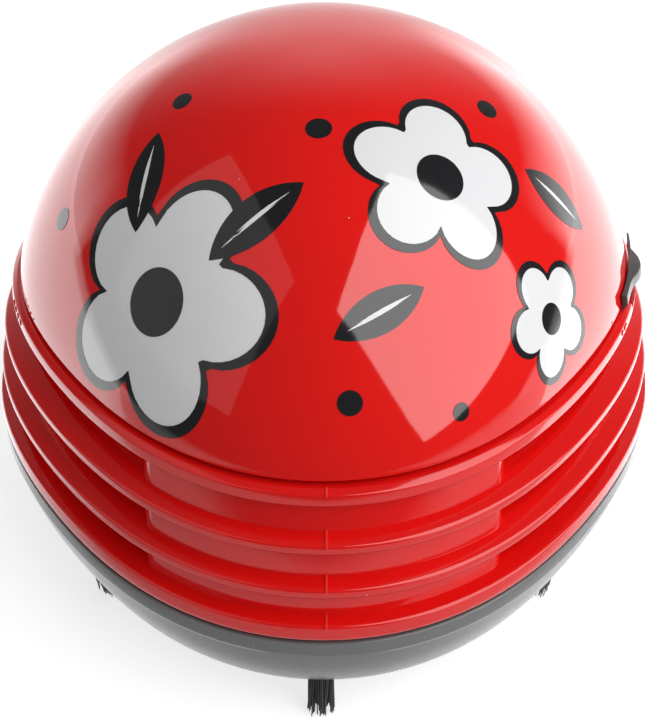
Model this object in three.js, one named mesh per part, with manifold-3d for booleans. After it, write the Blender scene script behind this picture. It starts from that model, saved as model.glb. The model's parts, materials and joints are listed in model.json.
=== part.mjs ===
// Desktop mini vacuum cleaner: glossy dome cover, ribbed exhaust collar, bowl base on eight bristle
// tufts, and inside it a motor, a centrifugal fan, a filter basket, two cells and a slide switch.
// Millimetres, +Z up, front towards -Y. The origin is on the table, under the middle of the outline.
import * as THREE from 'three';
import { mergeVertices } from 'three/addons/utils/BufferGeometryUtils.js';
import Module from 'manifold-3d';

const wasm = await Module();
wasm.setup();

// Plan outline: a rounded egg, narrower in front, that every shell follows at its own radius.
// It reaches past the corners of the cell bays. The shares swell the circle in two, three and four
// waves round the turn.
const rimBeyondBays = 9.182;
const planWaveShares = [0.045, 0.026, 0.018];
const planSegments = 40;

// Clearances and the overrun of cuts
const clear = 0.3;
const overrun = 1;

// Base
const standHeight = 6.05;
const baseDepth = 10.45;
const floorThick = 2.2;
const baseWall = 2;
const bandHeight = 2.4;
const bandStep = 0.3;
const baseInset = 0.7;
const baseTuckIn = 3.5;
const baseLipRise = 1.9;
const baseLipWall = 1.2;
const shadowGap = 0.5;

// Collar and its ribs, counted from the bottom
const ribCount = 4;
const ribPitch = 6.4;
const ribThick = 2.5;
const ribRound = 0.7;
const ribEdge = 1;
const rimEdge = 2.4;
const rimSlopeRise = 0.5;
const ribSlopeRun = 3.2;
const collarLean = 4.9;
const ribInsetShares = [0, 0.16, 0.36, 0.7];
const collarWall = 1.5;
const boreInset = 10;
const panelHalfWidth = 23.3;
const panelInset = 1.75;
const panelWall = 1.5;
const ledgeThick = 1.6;
const ledgeWidth = 1.6;
const shoulderRise = 2.2;
const shoulderStep = 0.4;
const shoulderInset = 1.05;
const neckWall = 1.4;
const neckRise = 4.9;

// Exhaust windows in the collar wall
const windowPitch = 21;
const windowFirst = 54;
const windowBar = 2.4;
const windowHeight = 2.9;
const windowSill = 0.35;

// Dome cover
const seamGap = 0.65;
const domeHeight = 35.1;
const domeWall = 1.6;
const domeEdgeRound = 0.4;
const domeBulgePower = 1.4;
const domeCrownPower = 2.45;
const domeSteps = 11;

// Seal between the dome and the collar shoulder
const sealWidth = 1;
const sealHeight = 1.2;

// Dust deck
const deckThick = 1.8;
const chimneyRise = 8;
const filterCurbRise = 1.6;
const filterCurbWall = 1.2;

// Air inlet
const ductBore = 6;
const ductWall = 1.4;
const inletGap = 1.3;
const mouthFlange = 11.5;
const mouthFlare = 2.6;
const mouthGap = 1.6;

// Motor and fan, on one upright axis
const fanY = -5.8;
const motorRadius = 9.6;
const motorHeight = 16.4;
const motorSeatRise = 2;
const motorSeatWall = 2;
const motorRound = 0.8;
const endcapHeight = 2.4;
const endcapInset = 0.4;
const bossRadius = 3.5;
const bossRise = 2;
const shaftRadius = 1.15;
const shaftDepth = 9;
const bushWall = 1.1;
const bushHeight = 2.8;
const housingRadius = 17;
const housingWall = 1.4;
const housingFloor = 1.3;
const impellerClear = 1.2;
const impellerPlate = 1;
const impellerGap = 1.1;
const hubWall = 1.7;
const bladeCount = 8;
const bladeThick = 0.9;
const bladeRootRadius = 5.6;
const bladeSweep = 38;
const eyeRadius = 6.6;
const outletCount = 6;
const outletBar = 3.4;
const outletSill = 1.2;

// Filter basket over the fan eye
const filterRadius = 16.2;
const filterHeight = 9;
const filterRing = 1.4;
const filterTaper = 1.6;
const filterBars = 6;
const filterBarWidth = 2;
const filterCloth = 1;

// Cells, one each side of the motor
const cellRadius = 7.25;
const cellLength = 50.5;
const nubLength = 1.5;
const nubRadius = 2.75;
const cellX = 19.1;
const bayWall = 1.3;
const bayMiddleY = 1.9;
const baySlack = 0.35;
const doorThick = 1.6;
const doorLap = 0.5;
const doorLugRise = 2;
const doorLugThick = 0.9;
const doorLugWidth = 5;
const doorGripDepth = 0.5;
const doorGripWidth = 1.2;
const tabThick = 0.5;
const tabHalfWidth = 5;
const springLength = 4.6;
const springWire = 0.35;
const springFoot = 4.4;
const springTip = 2.8;
const springTurns = 3;

// Slide switch on the right of the seam
const switchBearing = 86;
const knobLength = 16.8;
const knobHeight = 4.2;
const knobBulge = 1.7;
const knobGap = 0.3;
const knobTravel = 3;
const knobBumpShares = [
  [0, 0.03], [0.1, 0.2], [0.2, 0.52], [0.3, 0.84], [0.43, 1],
  [0.55, 0.86], [0.66, 0.5], [0.76, 0.36], [1, 0.33],
];
const stemWidth = 4;
const stemThick = 1.1;
const notchDepth = 1.4;
const armThick = 1.6;
const switchLength = 12;
const switchDepth = 4.4;
const switchHeight = 6;
const switchDrop = 5.2;
const shelfThick = 1.4;
const shelfWidth = 8;
const riserWall = 1.2;
const toggleWidth = 1.8;
const toggleDepth = 1.6;
const toggleRise = 1.6;
const toggleSink = 1.2;

// Bristle tufts in their backing strips
const brushInset = 6;
const stripWidth = 2.4;
const stripThick = 0.9;
const tuftLean = 2.6;
const tuftBearings = [0, 48, 92, 136, 180, 224, 268, 312];
const tuftStrands = 38;
const tuftRoot = 1.05;
const tuftTipShare = 1.75;
const strandRadius = 0.12;
const strandSink = 0.4;
const tuftFlat = 0.5;
const strandTurn = 137.5;

// Screws and the posts that take them
const postRadius = 3;
const screwInset = 9;
const screwBearings = [30, 152, 208, 330];
const screwRadius = 1.1;
const screwHeadRadius = 2.4;
const screwHeadHeight = 1.2;
const screwGrip = 6;
const screwSeatThick = 1.6;
const crossWidth = 0.7;
const crossDepth = 0.7;
const motorScrewRadius = 0.8;
const motorScrewHead = 1.7;
const motorScrewGrip = 3;
const motorScrewCircle = 6.6;

// Wires
const wireRadius = 0.6;
const wireSteps = 10;
const wireMotorBearing = 312.5;
const wireReturnBearing = 140.5;
const wireArchBearing = 50;

// Sizes that follow from the ones above
const bayHalf = cellRadius + baySlack;
const bayLength = cellLength + springLength + tabThick + clear * 4;
const bayIn = cellX - bayHalf - bayWall;
const bayOut = cellX + bayHalf + bayWall;
const rimRadius = Math.hypot(bayOut, bayLength / 2 + bayWall) + rimBeyondBays;
const collarBore = rimRadius - boreInset;
const brushRadius = rimRadius - brushInset;
const screwCircle = rimRadius - screwInset;
const spigotRadius = ductBore + ductWall;
const inletY = fanY - housingRadius - inletGap - spigotRadius;
const floorTop = standHeight + floorThick;
const baseTop = standHeight + baseDepth;
const rimZ = baseTop + shadowGap;
const topRibZ = rimZ + ribPitch * (ribCount - 1);
const shoulderZ = topRibZ + shoulderRise;
const seamZ = shoulderZ + seamGap;
const neckTop = shoulderZ + neckRise;
const ledgeTop = topRibZ + ledgeThick;
const deckZ = ledgeTop + clear;
const deckTop = deckZ + deckThick;
const rimPlateZ = baseTop + baseLipRise + clear;
const domeRadius = rimRadius - collarLean;
const collarOuter = collarBore + collarWall;
const neckInner = collarBore + clear;
const neckOuter = neckInner + neckWall;
const lipOuter = rimRadius - baseInset - baseWall;
const cellZ = standHeight + doorThick + clear + cellRadius;
const motorZ = floorTop + motorSeatRise + clear;
const canZ = motorZ + endcapHeight + clear;
const canTop = canZ + motorHeight;
const housingZ = canTop + clear;
const housingTop = deckZ - clear;
const impellerZ = housingZ + housingFloor + impellerGap;
const impellerRadius = housingRadius - housingWall - impellerClear;
const bladeTop = deckZ - impellerGap;
const rad = THREE.MathUtils.degToRad;

const ribRadius = (i) => rimRadius - collarLean * ribInsetShares[i];
const ribZ = (i) => rimZ + ribPitch * i;

// How far the outline swells at an angle from the front
const swell = (angle) => planWaveShares.reduce((all, share, i) => all + share * Math.cos((i + 2) * angle), 1);

// A point of the outline at one radius and bearing, bearing 0 in front and 90 on the right
function planPoint(radius, bearing) {
  const reach = radius * swell(rad(bearing));
  return new THREE.Vector2(reach * Math.sin(rad(bearing)), -reach * Math.cos(rad(bearing)));
}

// The frame on the outline: local X points outward and local Y runs along it towards the back
function planFrame(radius, bearing) {
  const at = planPoint(radius, bearing);
  const step = planPoint(radius, bearing + 1).sub(planPoint(radius, bearing - 1)).normalize();
  const frame = new THREE.Matrix4().makeRotationZ(Math.atan2(-step.x, step.y));
  return frame.setPosition(at.x, at.y, 0);
}

// Closed geometry to a solid, with its faces turned outward
function solid(geometry) {
  const bare = geometry.clone();
  bare.deleteAttribute('normal');
  bare.deleteAttribute('uv');
  const merged = mergeVertices(bare, 1e-5);
  const place = merged.attributes.position;
  const corners = [];
  let volume = 0;
  const [a, b, c] = [new THREE.Vector3(), new THREE.Vector3(), new THREE.Vector3()];
  for (let i = 0; i < merged.index.count; i += 3) {
    const t = [0, 1, 2].map((k) => merged.index.getX(i + k));
    if (t[0] === t[1] || t[1] === t[2] || t[2] === t[0]) continue;
    [a, b, c].forEach((v, k) => v.fromBufferAttribute(place, t[k]));
    volume += a.dot(b.cross(c));
    corners.push(...t);
  }
  if (volume < 0) corners.reverse();
  const vertProperties = new Float32Array(place.array);
  return new wasm.Manifold(new wasm.Mesh({ numProp: 3, vertProperties, triVerts: new Uint32Array(corners) }));
}

// A solid back to geometry
function shape(body) {
  const mesh = body.getMesh();
  const geometry = new THREE.BufferGeometry();
  geometry.setAttribute('position', new THREE.BufferAttribute(mesh.vertProperties, 3));
  geometry.setIndex(new THREE.BufferAttribute(mesh.triVerts, 1));
  geometry.computeVertexNormals();
  return geometry;
}

const join = (...bodies) => bodies.reduce((all, body) => all.add(body));
const cut = (body, ...tools) => tools.reduce((left, tool) => left.subtract(tool), body);

// Round solid about an upright axis, from a closed or axis to axis profile of [radius, z] points
function revolve(points, segments = planSegments) {
  const profile = points.map(([r, z]) => new THREE.Vector2(r, z));
  return new THREE.LatheGeometry(profile, segments).rotateX(Math.PI / 2);
}

// The same revolve, carried on to the egg outline
function egg(points) {
  const geometry = revolve(points);
  const place = geometry.attributes.position;
  for (let i = 0; i < place.count; i += 1) {
    const [x, y] = [place.getX(i), place.getY(i)];
    const stretch = swell(Math.atan2(x, -y));
    place.setXY(i, x * stretch, y * stretch);
  }
  return geometry;
}

const ringOf = (inner, outer, low, high) => [
  [inner, low], [outer, low], [outer, high], [inner, high], [inner, low],
];
const discOf = (outer, low, high) => [[0, low], [outer, low], [outer, high], [0, high]];

function block(x0, x1, y0, y1, z0, z1) {
  const geometry = new THREE.BoxGeometry(x1 - x0, y1 - y0, z1 - z0);
  return geometry.translate((x0 + x1) / 2, (y0 + y1) / 2, (z0 + z1) / 2);
}

function rod(radius, low, high, segments = 20, x = 0, y = 0) {
  const geometry = new THREE.CylinderGeometry(radius, radius, high - low, segments);
  return geometry.rotateX(Math.PI / 2).translate(x, y, (low + high) / 2);
}

// An outline in plan, raised between two heights
function plate(points, low, high) {
  const outline = new THREE.Shape(points.map(([x, y]) => new THREE.Vector2(x, y)));
  const geometry = new THREE.ExtrudeGeometry(outline, { depth: high - low, bevelEnabled: false });
  return geometry.translate(0, 0, low);
}

// A slice of the plan between two bearings
function slice(from, to, low, high) {
  const reach = rimRadius * 2;
  const points = [[0, 0]];
  const steps = Math.max(1, Math.round((to - from) / (360 / planSegments)));
  for (let i = 0; i <= steps; i += 1) {
    const at = planPoint(reach, from + ((to - from) * i) / steps);
    points.push([at.x, at.y]);
  }
  return plate(points, low, high);
}

// The whole, moved along Y so that the outline's middle is over the origin
const vacuum = new THREE.Group();
vacuum.name = 'desktop_mini_vacuum';
vacuum.position.y = (rimRadius * (swell(0) - swell(Math.PI))) / 2;

function piece(name, geometry, look, parent = vacuum) {
  const mesh = new THREE.Mesh(geometry, new THREE.MeshStandardMaterial(look));
  mesh.name = name;
  parent.add(mesh);
  return mesh;
}

const redGloss = { color: 0xd81c18, roughness: 0.16, metalness: 0 };
const redSatin = { color: 0xc4161a, roughness: 0.28, metalness: 0 };
const charcoal = { color: 0x4a4c4e, roughness: 0.42, metalness: 0 };
const innerGrey = { color: 0x85898c, roughness: 0.5, metalness: 0 };
const innerWhite = { color: 0xd9d9d4, roughness: 0.5, metalness: 0 };
const rubberBlack = { color: 0x202123, roughness: 0.8, metalness: 0 };
const bristleBlack = { color: 0x26272a, roughness: 0.6, metalness: 0 };
const steel = { color: 0xb4b7bb, roughness: 0.3, metalness: 1 };
const brass = { color: 0xb8954a, roughness: 0.35, metalness: 1 };
const cloth = { color: 0xe6e4dc, roughness: 0.95, metalness: 0 };
const cellSleeve = { color: 0x2f6e4a, roughness: 0.4, metalness: 0 };
const wireRed = { color: 0xb02822, roughness: 0.5, metalness: 0 };

// Switch frame, shared by the knob, the switch and the cuts that they run in
const switchFrame = planFrame(domeRadius, switchBearing);
const stemZ = shoulderZ - stemThick;
const notchZ = shoulderZ - notchDepth;
const slotHalf = stemWidth / 2 + clear;
const armOuter = -(domeRadius - collarBore + ledgeWidth + clear * 2);
const armInner = armOuter - armThick;
const switchX = (armOuter + armInner) / 2;
const switchTop = stemZ - switchDrop;
const toSwitch = (geometry) => geometry.applyMatrix4(switchFrame);

// Dome cover: a revolved bulge with an even wall, open below
function domeShell() {
  const outer = (share) => {
    const r = (1 - share ** domeBulgePower) ** (1 / domeCrownPower);
    return [domeRadius * r, seamZ + domeHeight * share];
  };
  const shares = Array.from({ length: domeSteps + 1 }, (_, i) => Math.sin((i / domeSteps) * (Math.PI / 2)));
  const outside = shares.map(outer);
  outside[0] = [domeRadius - domeEdgeRound / 4, seamZ + domeEdgeRound];
  const innerScale = (domeRadius - domeWall) / domeRadius;
  const crownScale = (domeHeight - domeWall) / domeHeight;
  const inside = shares.filter((_, i) => i % 2 === 0 || i < 4).map((share) => {
    const [r, z] = outer(share);
    return [r * innerScale, seamZ + (z - seamZ) * crownScale];
  });
  const profile = [...inside.reverse(), [domeRadius - domeEdgeRound, seamZ], ...outside];
  profile[0][0] = 0;
  profile[profile.length - 1][0] = 0;
  return egg(profile);
}
piece('dome_cover', shape(solid(domeShell())), redGloss);

// Rubber seal on the collar shoulder, outside the neck
const sealIn = neckOuter + clear;
piece('dome_seal', shape(solid(egg(ringOf(
  sealIn, sealIn + sealWidth, shoulderZ + clear, shoulderZ + clear + sealHeight,
)))), rubberBlack);

// Collar: louvre ribs round a windowed wall, a blind panel in front, a ledge and a neck on top
function collarProfile() {
  const points = [[lipOuter + clear, rimZ]];
  for (let i = 0; i < ribCount - 1; i += 1) {
    const [r, z] = [ribRadius(i), ribZ(i)];
    const edge = i === 0 ? rimEdge : ribEdge;
    const crest = z + (i === 0 ? rimEdge + rimSlopeRise : ribThick);
    if (i > 0) points.push([collarOuter, z + ribRound / 2]);
    points.push([r - ribRound, z], [r, z + ribRound], [r, z + edge]);
    points.push([r - ribSlopeRun, crest], [collarOuter, crest]);
  }
  const [r, z] = [ribRadius(ribCount - 1), topRibZ];
  const stepR = r - shoulderInset;
  const ledgeInner = collarBore - ledgeWidth;
  points.push([collarOuter, z + ribRound / 2], [r - ribRound, z], [r, z + ribRound], [r, z + ribEdge]);
  points.push([stepR + shoulderStep, shoulderZ - shoulderStep / 2]);
  points.push([stepR + shoulderStep / 2, shoulderZ - shoulderStep], [stepR, shoulderZ]);
  points.push([neckOuter, shoulderZ], [neckOuter, neckTop - ribRound], [neckOuter - ribRound, neckTop]);
  points.push([neckInner, neckTop], [neckInner, ledgeTop], [ledgeInner, ledgeTop]);
  points.push([ledgeInner, z], [collarBore, z - ledgeWidth], [collarBore, rimPlateZ]);
  points.push([lipOuter + clear, rimPlateZ], [lipOuter + clear, rimZ]);
  return points;
}

// Radius of the rib edges' envelope at one height
function leanRadius(z) {
  const at = Math.min(Math.max((z - rimZ) / ribPitch, 0), ribCount - 1);
  const i = Math.min(Math.floor(at), ribCount - 2);
  return ribRadius(i) + (ribRadius(i + 1) - ribRadius(i)) * (at - i);
}

// The room under the lean, from one radius out to an inset from the rib edges
function leanRoom(inner, inset, low, high) {
  const middle = [1, 2].filter((i) => ribZ(i) > low && ribZ(i) < high);
  const heights = [low, ...middle.map(ribZ), high];
  const front = heights.map((z) => [leanRadius(z) - inset, z]);
  return egg([[inner, low], ...front, [inner, high], [inner, low]]);
}

function exhaustWindows() {
  const tools = [];
  for (let bearing = windowFirst; bearing <= 360 - windowFirst; bearing += windowPitch) {
    const ends = [-1, 1].map((side) => planPoint(collarBore, bearing + (side * windowPitch) / 2));
    const half = (ends[0].distanceTo(ends[1]) - windowBar) / 2;
    for (let i = 1; i < ribCount; i += 1) {
      const top = ribZ(i) - windowSill;
      const hole = block(-collarWall, collarWall * 2, -half, half, top - windowHeight, top);
      tools.push(solid(hole.applyMatrix4(planFrame(collarBore, bearing))));
    }
  }
  return tools;
}

const screwSpots = screwBearings.map((bearing) => planPoint(screwCircle, bearing));
const screwSeatZ = standHeight + screwHeadHeight + clear * 2;
const postZ = screwSeatZ + screwSeatThick + clear;

function collar() {
  const reach = rimRadius * 2;
  const plateTop = rimZ + rimEdge + rimSlopeRise;
  const across = solid(block(-panelHalfWidth, panelHalfWidth, -reach, 0, rimPlateZ, shoulderZ));
  const inside = solid(block(-panelHalfWidth + panelWall, panelHalfWidth - panelWall, -reach, 0, 0, reach));
  const panel = solid(leanRoom(collarBore + clear, panelInset, rimPlateZ + clear, topRibZ + ribEdge));
  const room = solid(leanRoom(collarBore - ledgeWidth, panelInset + panelWall, plateTop, topRibZ));
  const posts = screwSpots.map((at) => solid(rod(postRadius, postZ, (rimPlateZ + plateTop) / 2, 12, at.x, at.y)));
  const pilots = screwSpots.map((at) => (
    solid(rod(screwRadius + clear, postZ - overrun, postZ + screwGrip, 8, at.x, at.y))
  ));
  const shelfTop = switchTop - switchHeight - clear;
  const shelfY = -knobTravel / 2;
  const shelf = solid(toSwitch(block(
    switchX, collarBore + collarWall / 2 - domeRadius,
    shelfY - shelfWidth / 2, shelfY + shelfWidth / 2, shelfTop - shelfThick, shelfTop,
  )));
  const notch = solid(toSwitch(block(
    armInner - clear, knobGap + riserWall + clear * 2, -slotHalf - knobTravel, slotHalf, notchZ, shoulderZ + clear,
  )));
  const body = join(solid(egg(collarProfile())), panel.intersect(across), ...posts, shelf);
  return cut(body, room.intersect(inside), ...pilots, ...exhaustWindows(), notch);
}
piece('collar', shape(collar()), redGloss);

// Base: a bowl with a top band, two cell bays, the motor seat, screw seats and brush grooves
const baseCurveShares = [[0, 0], [0.32, 0.09], [0.56, 0.24], [0.82, 0.58], [1, 1]];
const bandRadius = rimRadius - baseInset;
const bandZ = baseTop - bandHeight;
const bowlRadius = bandRadius - bandStep;
const flatRadius = bandRadius - baseTuckIn;
const bayFront = bayMiddleY - bayLength / 2;
const bayRear = bayMiddleY + bayLength / 2;
const ductSeat = floorTop + clear * 2;

function baseProfile() {
  const outside = baseCurveShares.map(([across, up]) => [
    flatRadius + (bowlRadius - flatRadius) * across, standHeight + (bandZ - standHeight) * up,
  ]);
  const [wideR, wideZ] = outside[outside.length - 2];
  const lipInner = lipOuter - baseLipWall;
  return [
    [0, standHeight], ...outside, [bandRadius, bandZ + bandStep], [bandRadius, baseTop],
    [lipOuter, baseTop], [lipOuter, baseTop + baseLipRise], [lipInner, baseTop + baseLipRise],
    [lipInner, baseTop - baseWall], [wideR - baseWall, wideZ], [flatRadius - baseWall / 2, floorTop], [0, floorTop],
  ];
}

// An arched tunnel along Y, straight up to the middle height and round above it
function archway(x, half, low, middle, from, to) {
  const outline = new THREE.Shape();
  outline.moveTo(x - half, low);
  outline.lineTo(x + half, low);
  outline.lineTo(x + half, middle);
  outline.absarc(x, middle, half, 0, Math.PI, false);
  outline.lineTo(x - half, low);
  const options = { depth: to - from, bevelEnabled: false, curveSegments: 7 };
  return new THREE.ExtrudeGeometry(outline, options).rotateX(Math.PI / 2).translate(0, to, 0);
}

const doorHalfX = bayHalf + doorLap;
const doorHalfY = bayLength / 2 + doorLap;

// Backing strips, each with the bearings of its tufts
const stripEnd = THREE.MathUtils.radToDeg((tuftRoot + strandRadius * 2) / brushRadius) * 2;
const strips = [
  { name: 'brush_front', bearings: tuftBearings.slice(0, 1) },
  { name: 'brush_right', bearings: tuftBearings.slice(1, 4) },
  { name: 'brush_rear', bearings: tuftBearings.slice(4, 5) },
  { name: 'brush_left', bearings: tuftBearings.slice(5) },
];

function stripSolid(strip, margin, low, high) {
  const ends = stripEnd + THREE.MathUtils.radToDeg(margin / brushRadius);
  const half = stripWidth / 2 + margin;
  const ring = solid(egg(ringOf(brushRadius - half, brushRadius + half, low, high)));
  const [from, to] = [strip.bearings[0] - ends, strip.bearings[strip.bearings.length - 1] + ends];
  return ring.intersect(solid(slice(from, to, low - overrun, high + overrun)));
}

function base() {
  const under = standHeight - overrun;
  const seats = [];
  const tools = [];
  const beyondBore = solid(egg(ringOf(collarBore - clear, rimRadius * 2, rimPlateZ - clear, shoulderZ)));
  [-1, 1].forEach((side) => {
    const x = side * cellX;
    const outerHalf = bayHalf + bayWall;
    seats.push(cut(solid(archway(
      x, outerHalf, standHeight + bandStep, cellZ, bayFront - bayWall, bayRear + bayWall,
    )), beyondBore));
    tools.push(solid(archway(x, bayHalf, under, cellZ, bayFront, bayRear)));
    tools.push(solid(block(
      x - doorHalfX - clear, x + doorHalfX + clear,
      bayMiddleY - doorHalfY - clear, bayMiddleY + doorHalfY + clear, under, standHeight + doorThick + clear,
    )));
  });
  screwSpots.forEach((at) => {
    const headRoom = screwHeadRadius + clear;
    seats.push(solid(rod(headRoom + baseLipWall, floorTop - clear, screwSeatZ + screwSeatThick, 12, at.x, at.y)));
    tools.push(solid(rod(headRoom, under, screwSeatZ, 12, at.x, at.y)));
    tools.push(solid(rod(screwRadius + clear, under, postZ, 8, at.x, at.y)));
  });
  const seatRing = ringOf(motorRadius - motorSeatWall, motorRadius, floorTop - clear, floorTop + motorSeatRise);
  seats.push(solid(revolve(seatRing, 20).translate(0, fanY, 0)));
  const curb = ringOf(spigotRadius + clear, spigotRadius + clear + ductWall, floorTop - clear, floorTop + motorSeatRise);
  seats.push(solid(revolve(curb, 20).translate(0, inletY, 0)));
  tools.push(solid(rod(spigotRadius + clear, under, floorTop + overrun, 20, 0, inletY)));
  strips.forEach((strip) => tools.push(stripSolid(strip, clear, under, standHeight + stripThick + clear)));
  return cut(join(solid(egg(baseProfile())), ...seats), ...tools);
}
piece('base_shell', shape(base()), charcoal);

// Suction mouth: a flared ring under the base with a spigot up through the floor
const mouthTop = standHeight - clear;
piece('suction_mouth', shape(solid(revolve([
  [ductBore, ductSeat - clear], [ductBore, mouthTop], [ductBore + mouthFlare, mouthGap],
  [mouthFlange, mouthGap], [mouthFlange, mouthGap + mouthFlare / 2], [mouthFlange - mouthFlare / 2, mouthTop],
  [spigotRadius, mouthTop], [spigotRadius, ductSeat - clear], [ductBore, ductSeat - clear],
], 20))), charcoal).position.set(0, inletY, 0);

// Intake duct from the mouth up to the deck
piece('intake_duct', shape(solid(revolve(
  ringOf(ductBore, spigotRadius, ductSeat, deckZ - clear), 20,
))), innerGrey).position.set(0, inletY, 0);

// Dust deck: inlet chimney, fan eye, a curb round the filter and a pocket over the switch stem
function dustDeck() {
  const filterOuter = filterRadius + clear;
  const chimney = ringOf(ductBore, spigotRadius, deckTop - clear, deckTop + chimneyRise);
  const curb = ringOf(filterOuter, filterOuter + filterCurbWall, deckTop - clear, deckTop + filterCurbRise);
  return cut(
    join(
      solid(egg(discOf(neckInner - clear, deckZ, deckTop))),
      solid(revolve(chimney, 20).translate(0, inletY, 0)),
      solid(revolve(curb, 24).translate(0, fanY, 0)),
    ),
    solid(rod(ductBore, deckZ - overrun, deckTop + overrun, 20, 0, inletY)),
    solid(rod(eyeRadius, deckZ - overrun, deckTop + overrun, 20, 0, fanY)),
    solid(toSwitch(block(
      armInner - clear, 0, -slotHalf - knobTravel, slotHalf, deckZ - overrun, shoulderZ + clear,
    ))),
  );
}
piece('dust_deck', shape(dustDeck()), innerGrey);

// Filter basket: a tapered frame with open sides, and a cloth cup inside it
const filter = new THREE.Group();
filter.position.set(0, fanY, deckTop + clear);
vacuum.add(filter);

function filterFrame() {
  const top = filterRadius - filterTaper;
  const shell = solid(revolve([
    [filterRadius - filterTaper * 2, 0], [filterRadius, 0], [top, filterHeight], [top - filterRing, filterHeight],
    [filterRadius - filterRing, filterRing], [filterRadius - filterTaper * 2, filterRing],
    [filterRadius - filterTaper * 2, 0],
  ], 24));
  const half = (Math.PI * top) / filterBars - filterBarWidth / 2;
  const openings = Array.from({ length: filterBars }, (_, i) => {
    const hole = block(top / 2, filterRadius * 2, -half, half, filterRing * 2, filterHeight - filterRing);
    return solid(hole.rotateZ((Math.PI * 2 * i) / filterBars));
  });
  return cut(shell, ...openings);
}
piece('filter_frame', shape(filterFrame()), innerWhite, filter);

function filterCup() {
  const low = filterRing + clear;
  const high = filterHeight;
  const foot = filterRadius - filterRing - clear * 2;
  const brow = foot - filterTaper;
  return solid(revolve([
    [0, high], [brow, high], [foot, low], [foot - filterCloth, low],
    [brow - filterCloth, high - filterCloth], [0, high - filterCloth],
  ], 24));
}
piece('filter_mesh', shape(filterCup()), cloth, filter);

// Motor and fan on one upright axis
const motor = new THREE.Group();
motor.position.set(0, fanY, 0);
vacuum.add(motor);
const bushOuter = shaftRadius + clear + bushWall;
const bushZ = canTop + bossRise - bushHeight;
const motorScrewX = [-motorScrewCircle, motorScrewCircle];
const motorSeatZ = housingZ + housingFloor / 2;

function motorCan() {
  const body = solid(revolve([
    [0, canZ], [motorRadius, canZ], [motorRadius, canTop - motorRound], [motorRadius - motorRound, canTop],
    [bossRadius, canTop], [bossRadius, canTop + bossRise], [0, canTop + bossRise],
  ], 20));
  const holes = motorScrewX.map((x) => (
    solid(rod(motorScrewRadius + clear, canTop - motorScrewGrip - clear, canTop + overrun, 8, x))
  ));
  return cut(
    body,
    solid(rod(bushOuter + clear, bushZ - clear, canTop + bossRise + overrun, 14)),
    solid(rod(shaftRadius + clear, canTop - shaftDepth, canTop, 12)),
    ...holes,
  );
}
piece('motor_can', shape(motorCan()), steel, motor);
piece('motor_endcap', shape(solid(revolve([
  [0, motorZ], [motorRadius - motorRound, motorZ], [motorRadius - endcapInset, motorZ + endcapInset],
  [motorRadius - endcapInset, motorZ + endcapHeight], [0, motorZ + endcapHeight],
], 20))), innerWhite, motor);
piece('front_bearing', shape(solid(revolve(
  ringOf(shaftRadius + clear, bushOuter, bushZ, bushZ + bushHeight), 14,
))), brass, motor);
piece('motor_shaft', shape(solid(rod(
  shaftRadius, canTop - shaftDepth + clear, bladeTop - clear, 12,
))), steel, motor);

// Fan housing: a cup bolted to the motor, open upward and with outlets round its wall
function fanHousing() {
  const inner = housingRadius - housingWall;
  const cup = solid(revolve([
    [bossRadius + clear, housingZ], [housingRadius, housingZ], [housingRadius, housingTop], [inner, housingTop],
    [inner, housingZ + housingFloor], [bossRadius + clear, housingZ + housingFloor], [bossRadius + clear, housingZ],
  ], 20));
  const half = (Math.PI * housingRadius) / outletCount - outletBar / 2;
  const low = housingZ + housingFloor + outletSill;
  const outlets = Array.from({ length: outletCount }, (_, i) => {
    const hole = block(inner - housingWall * 2, housingRadius + overrun, -half, half, low, housingTop - outletSill);
    return solid(hole.rotateZ((Math.PI * 2 * (i + 1 / 2)) / outletCount));
  });
  const holes = motorScrewX.flatMap((x) => [
    solid(rod(motorScrewRadius + clear, housingZ - overrun, housingTop, 8, x)),
    solid(rod(motorScrewHead + clear, motorSeatZ, housingTop, 10, x)),
  ]);
  return cut(cup, ...outlets, ...holes);
}
piece('fan_housing', shape(fanHousing()), innerGrey, motor);

// Impeller: a back plate, a hub and swept blades
function impeller() {
  const hub = shaftRadius + clear + hubWall;
  const disc = ringOf(shaftRadius + clear, impellerRadius, impellerZ, impellerZ + impellerPlate);
  const core = ringOf(shaftRadius + clear, hub, impellerZ, bladeTop);
  const steps = 3;
  const side = (offset) => Array.from({ length: steps + 1 }, (_, k) => {
    const r = bladeRootRadius + ((impellerRadius - clear - bladeRootRadius) * k) / steps;
    const a = rad(bladeSweep) * (k / steps) + offset / r;
    return [r * Math.cos(a), r * Math.sin(a)];
  });
  const outline = [...side(-bladeThick / 2), ...side(bladeThick / 2).reverse()];
  const blades = Array.from({ length: bladeCount }, (_, i) => (
    solid(plate(outline, impellerZ + impellerPlate / 2, bladeTop).rotateZ((Math.PI * 2 * i) / bladeCount))
  ));
  return join(solid(revolve(disc, 24)), solid(revolve(core, 12)), ...blades);
}
piece('impeller', shape(impeller()), innerWhite, motor);

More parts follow.
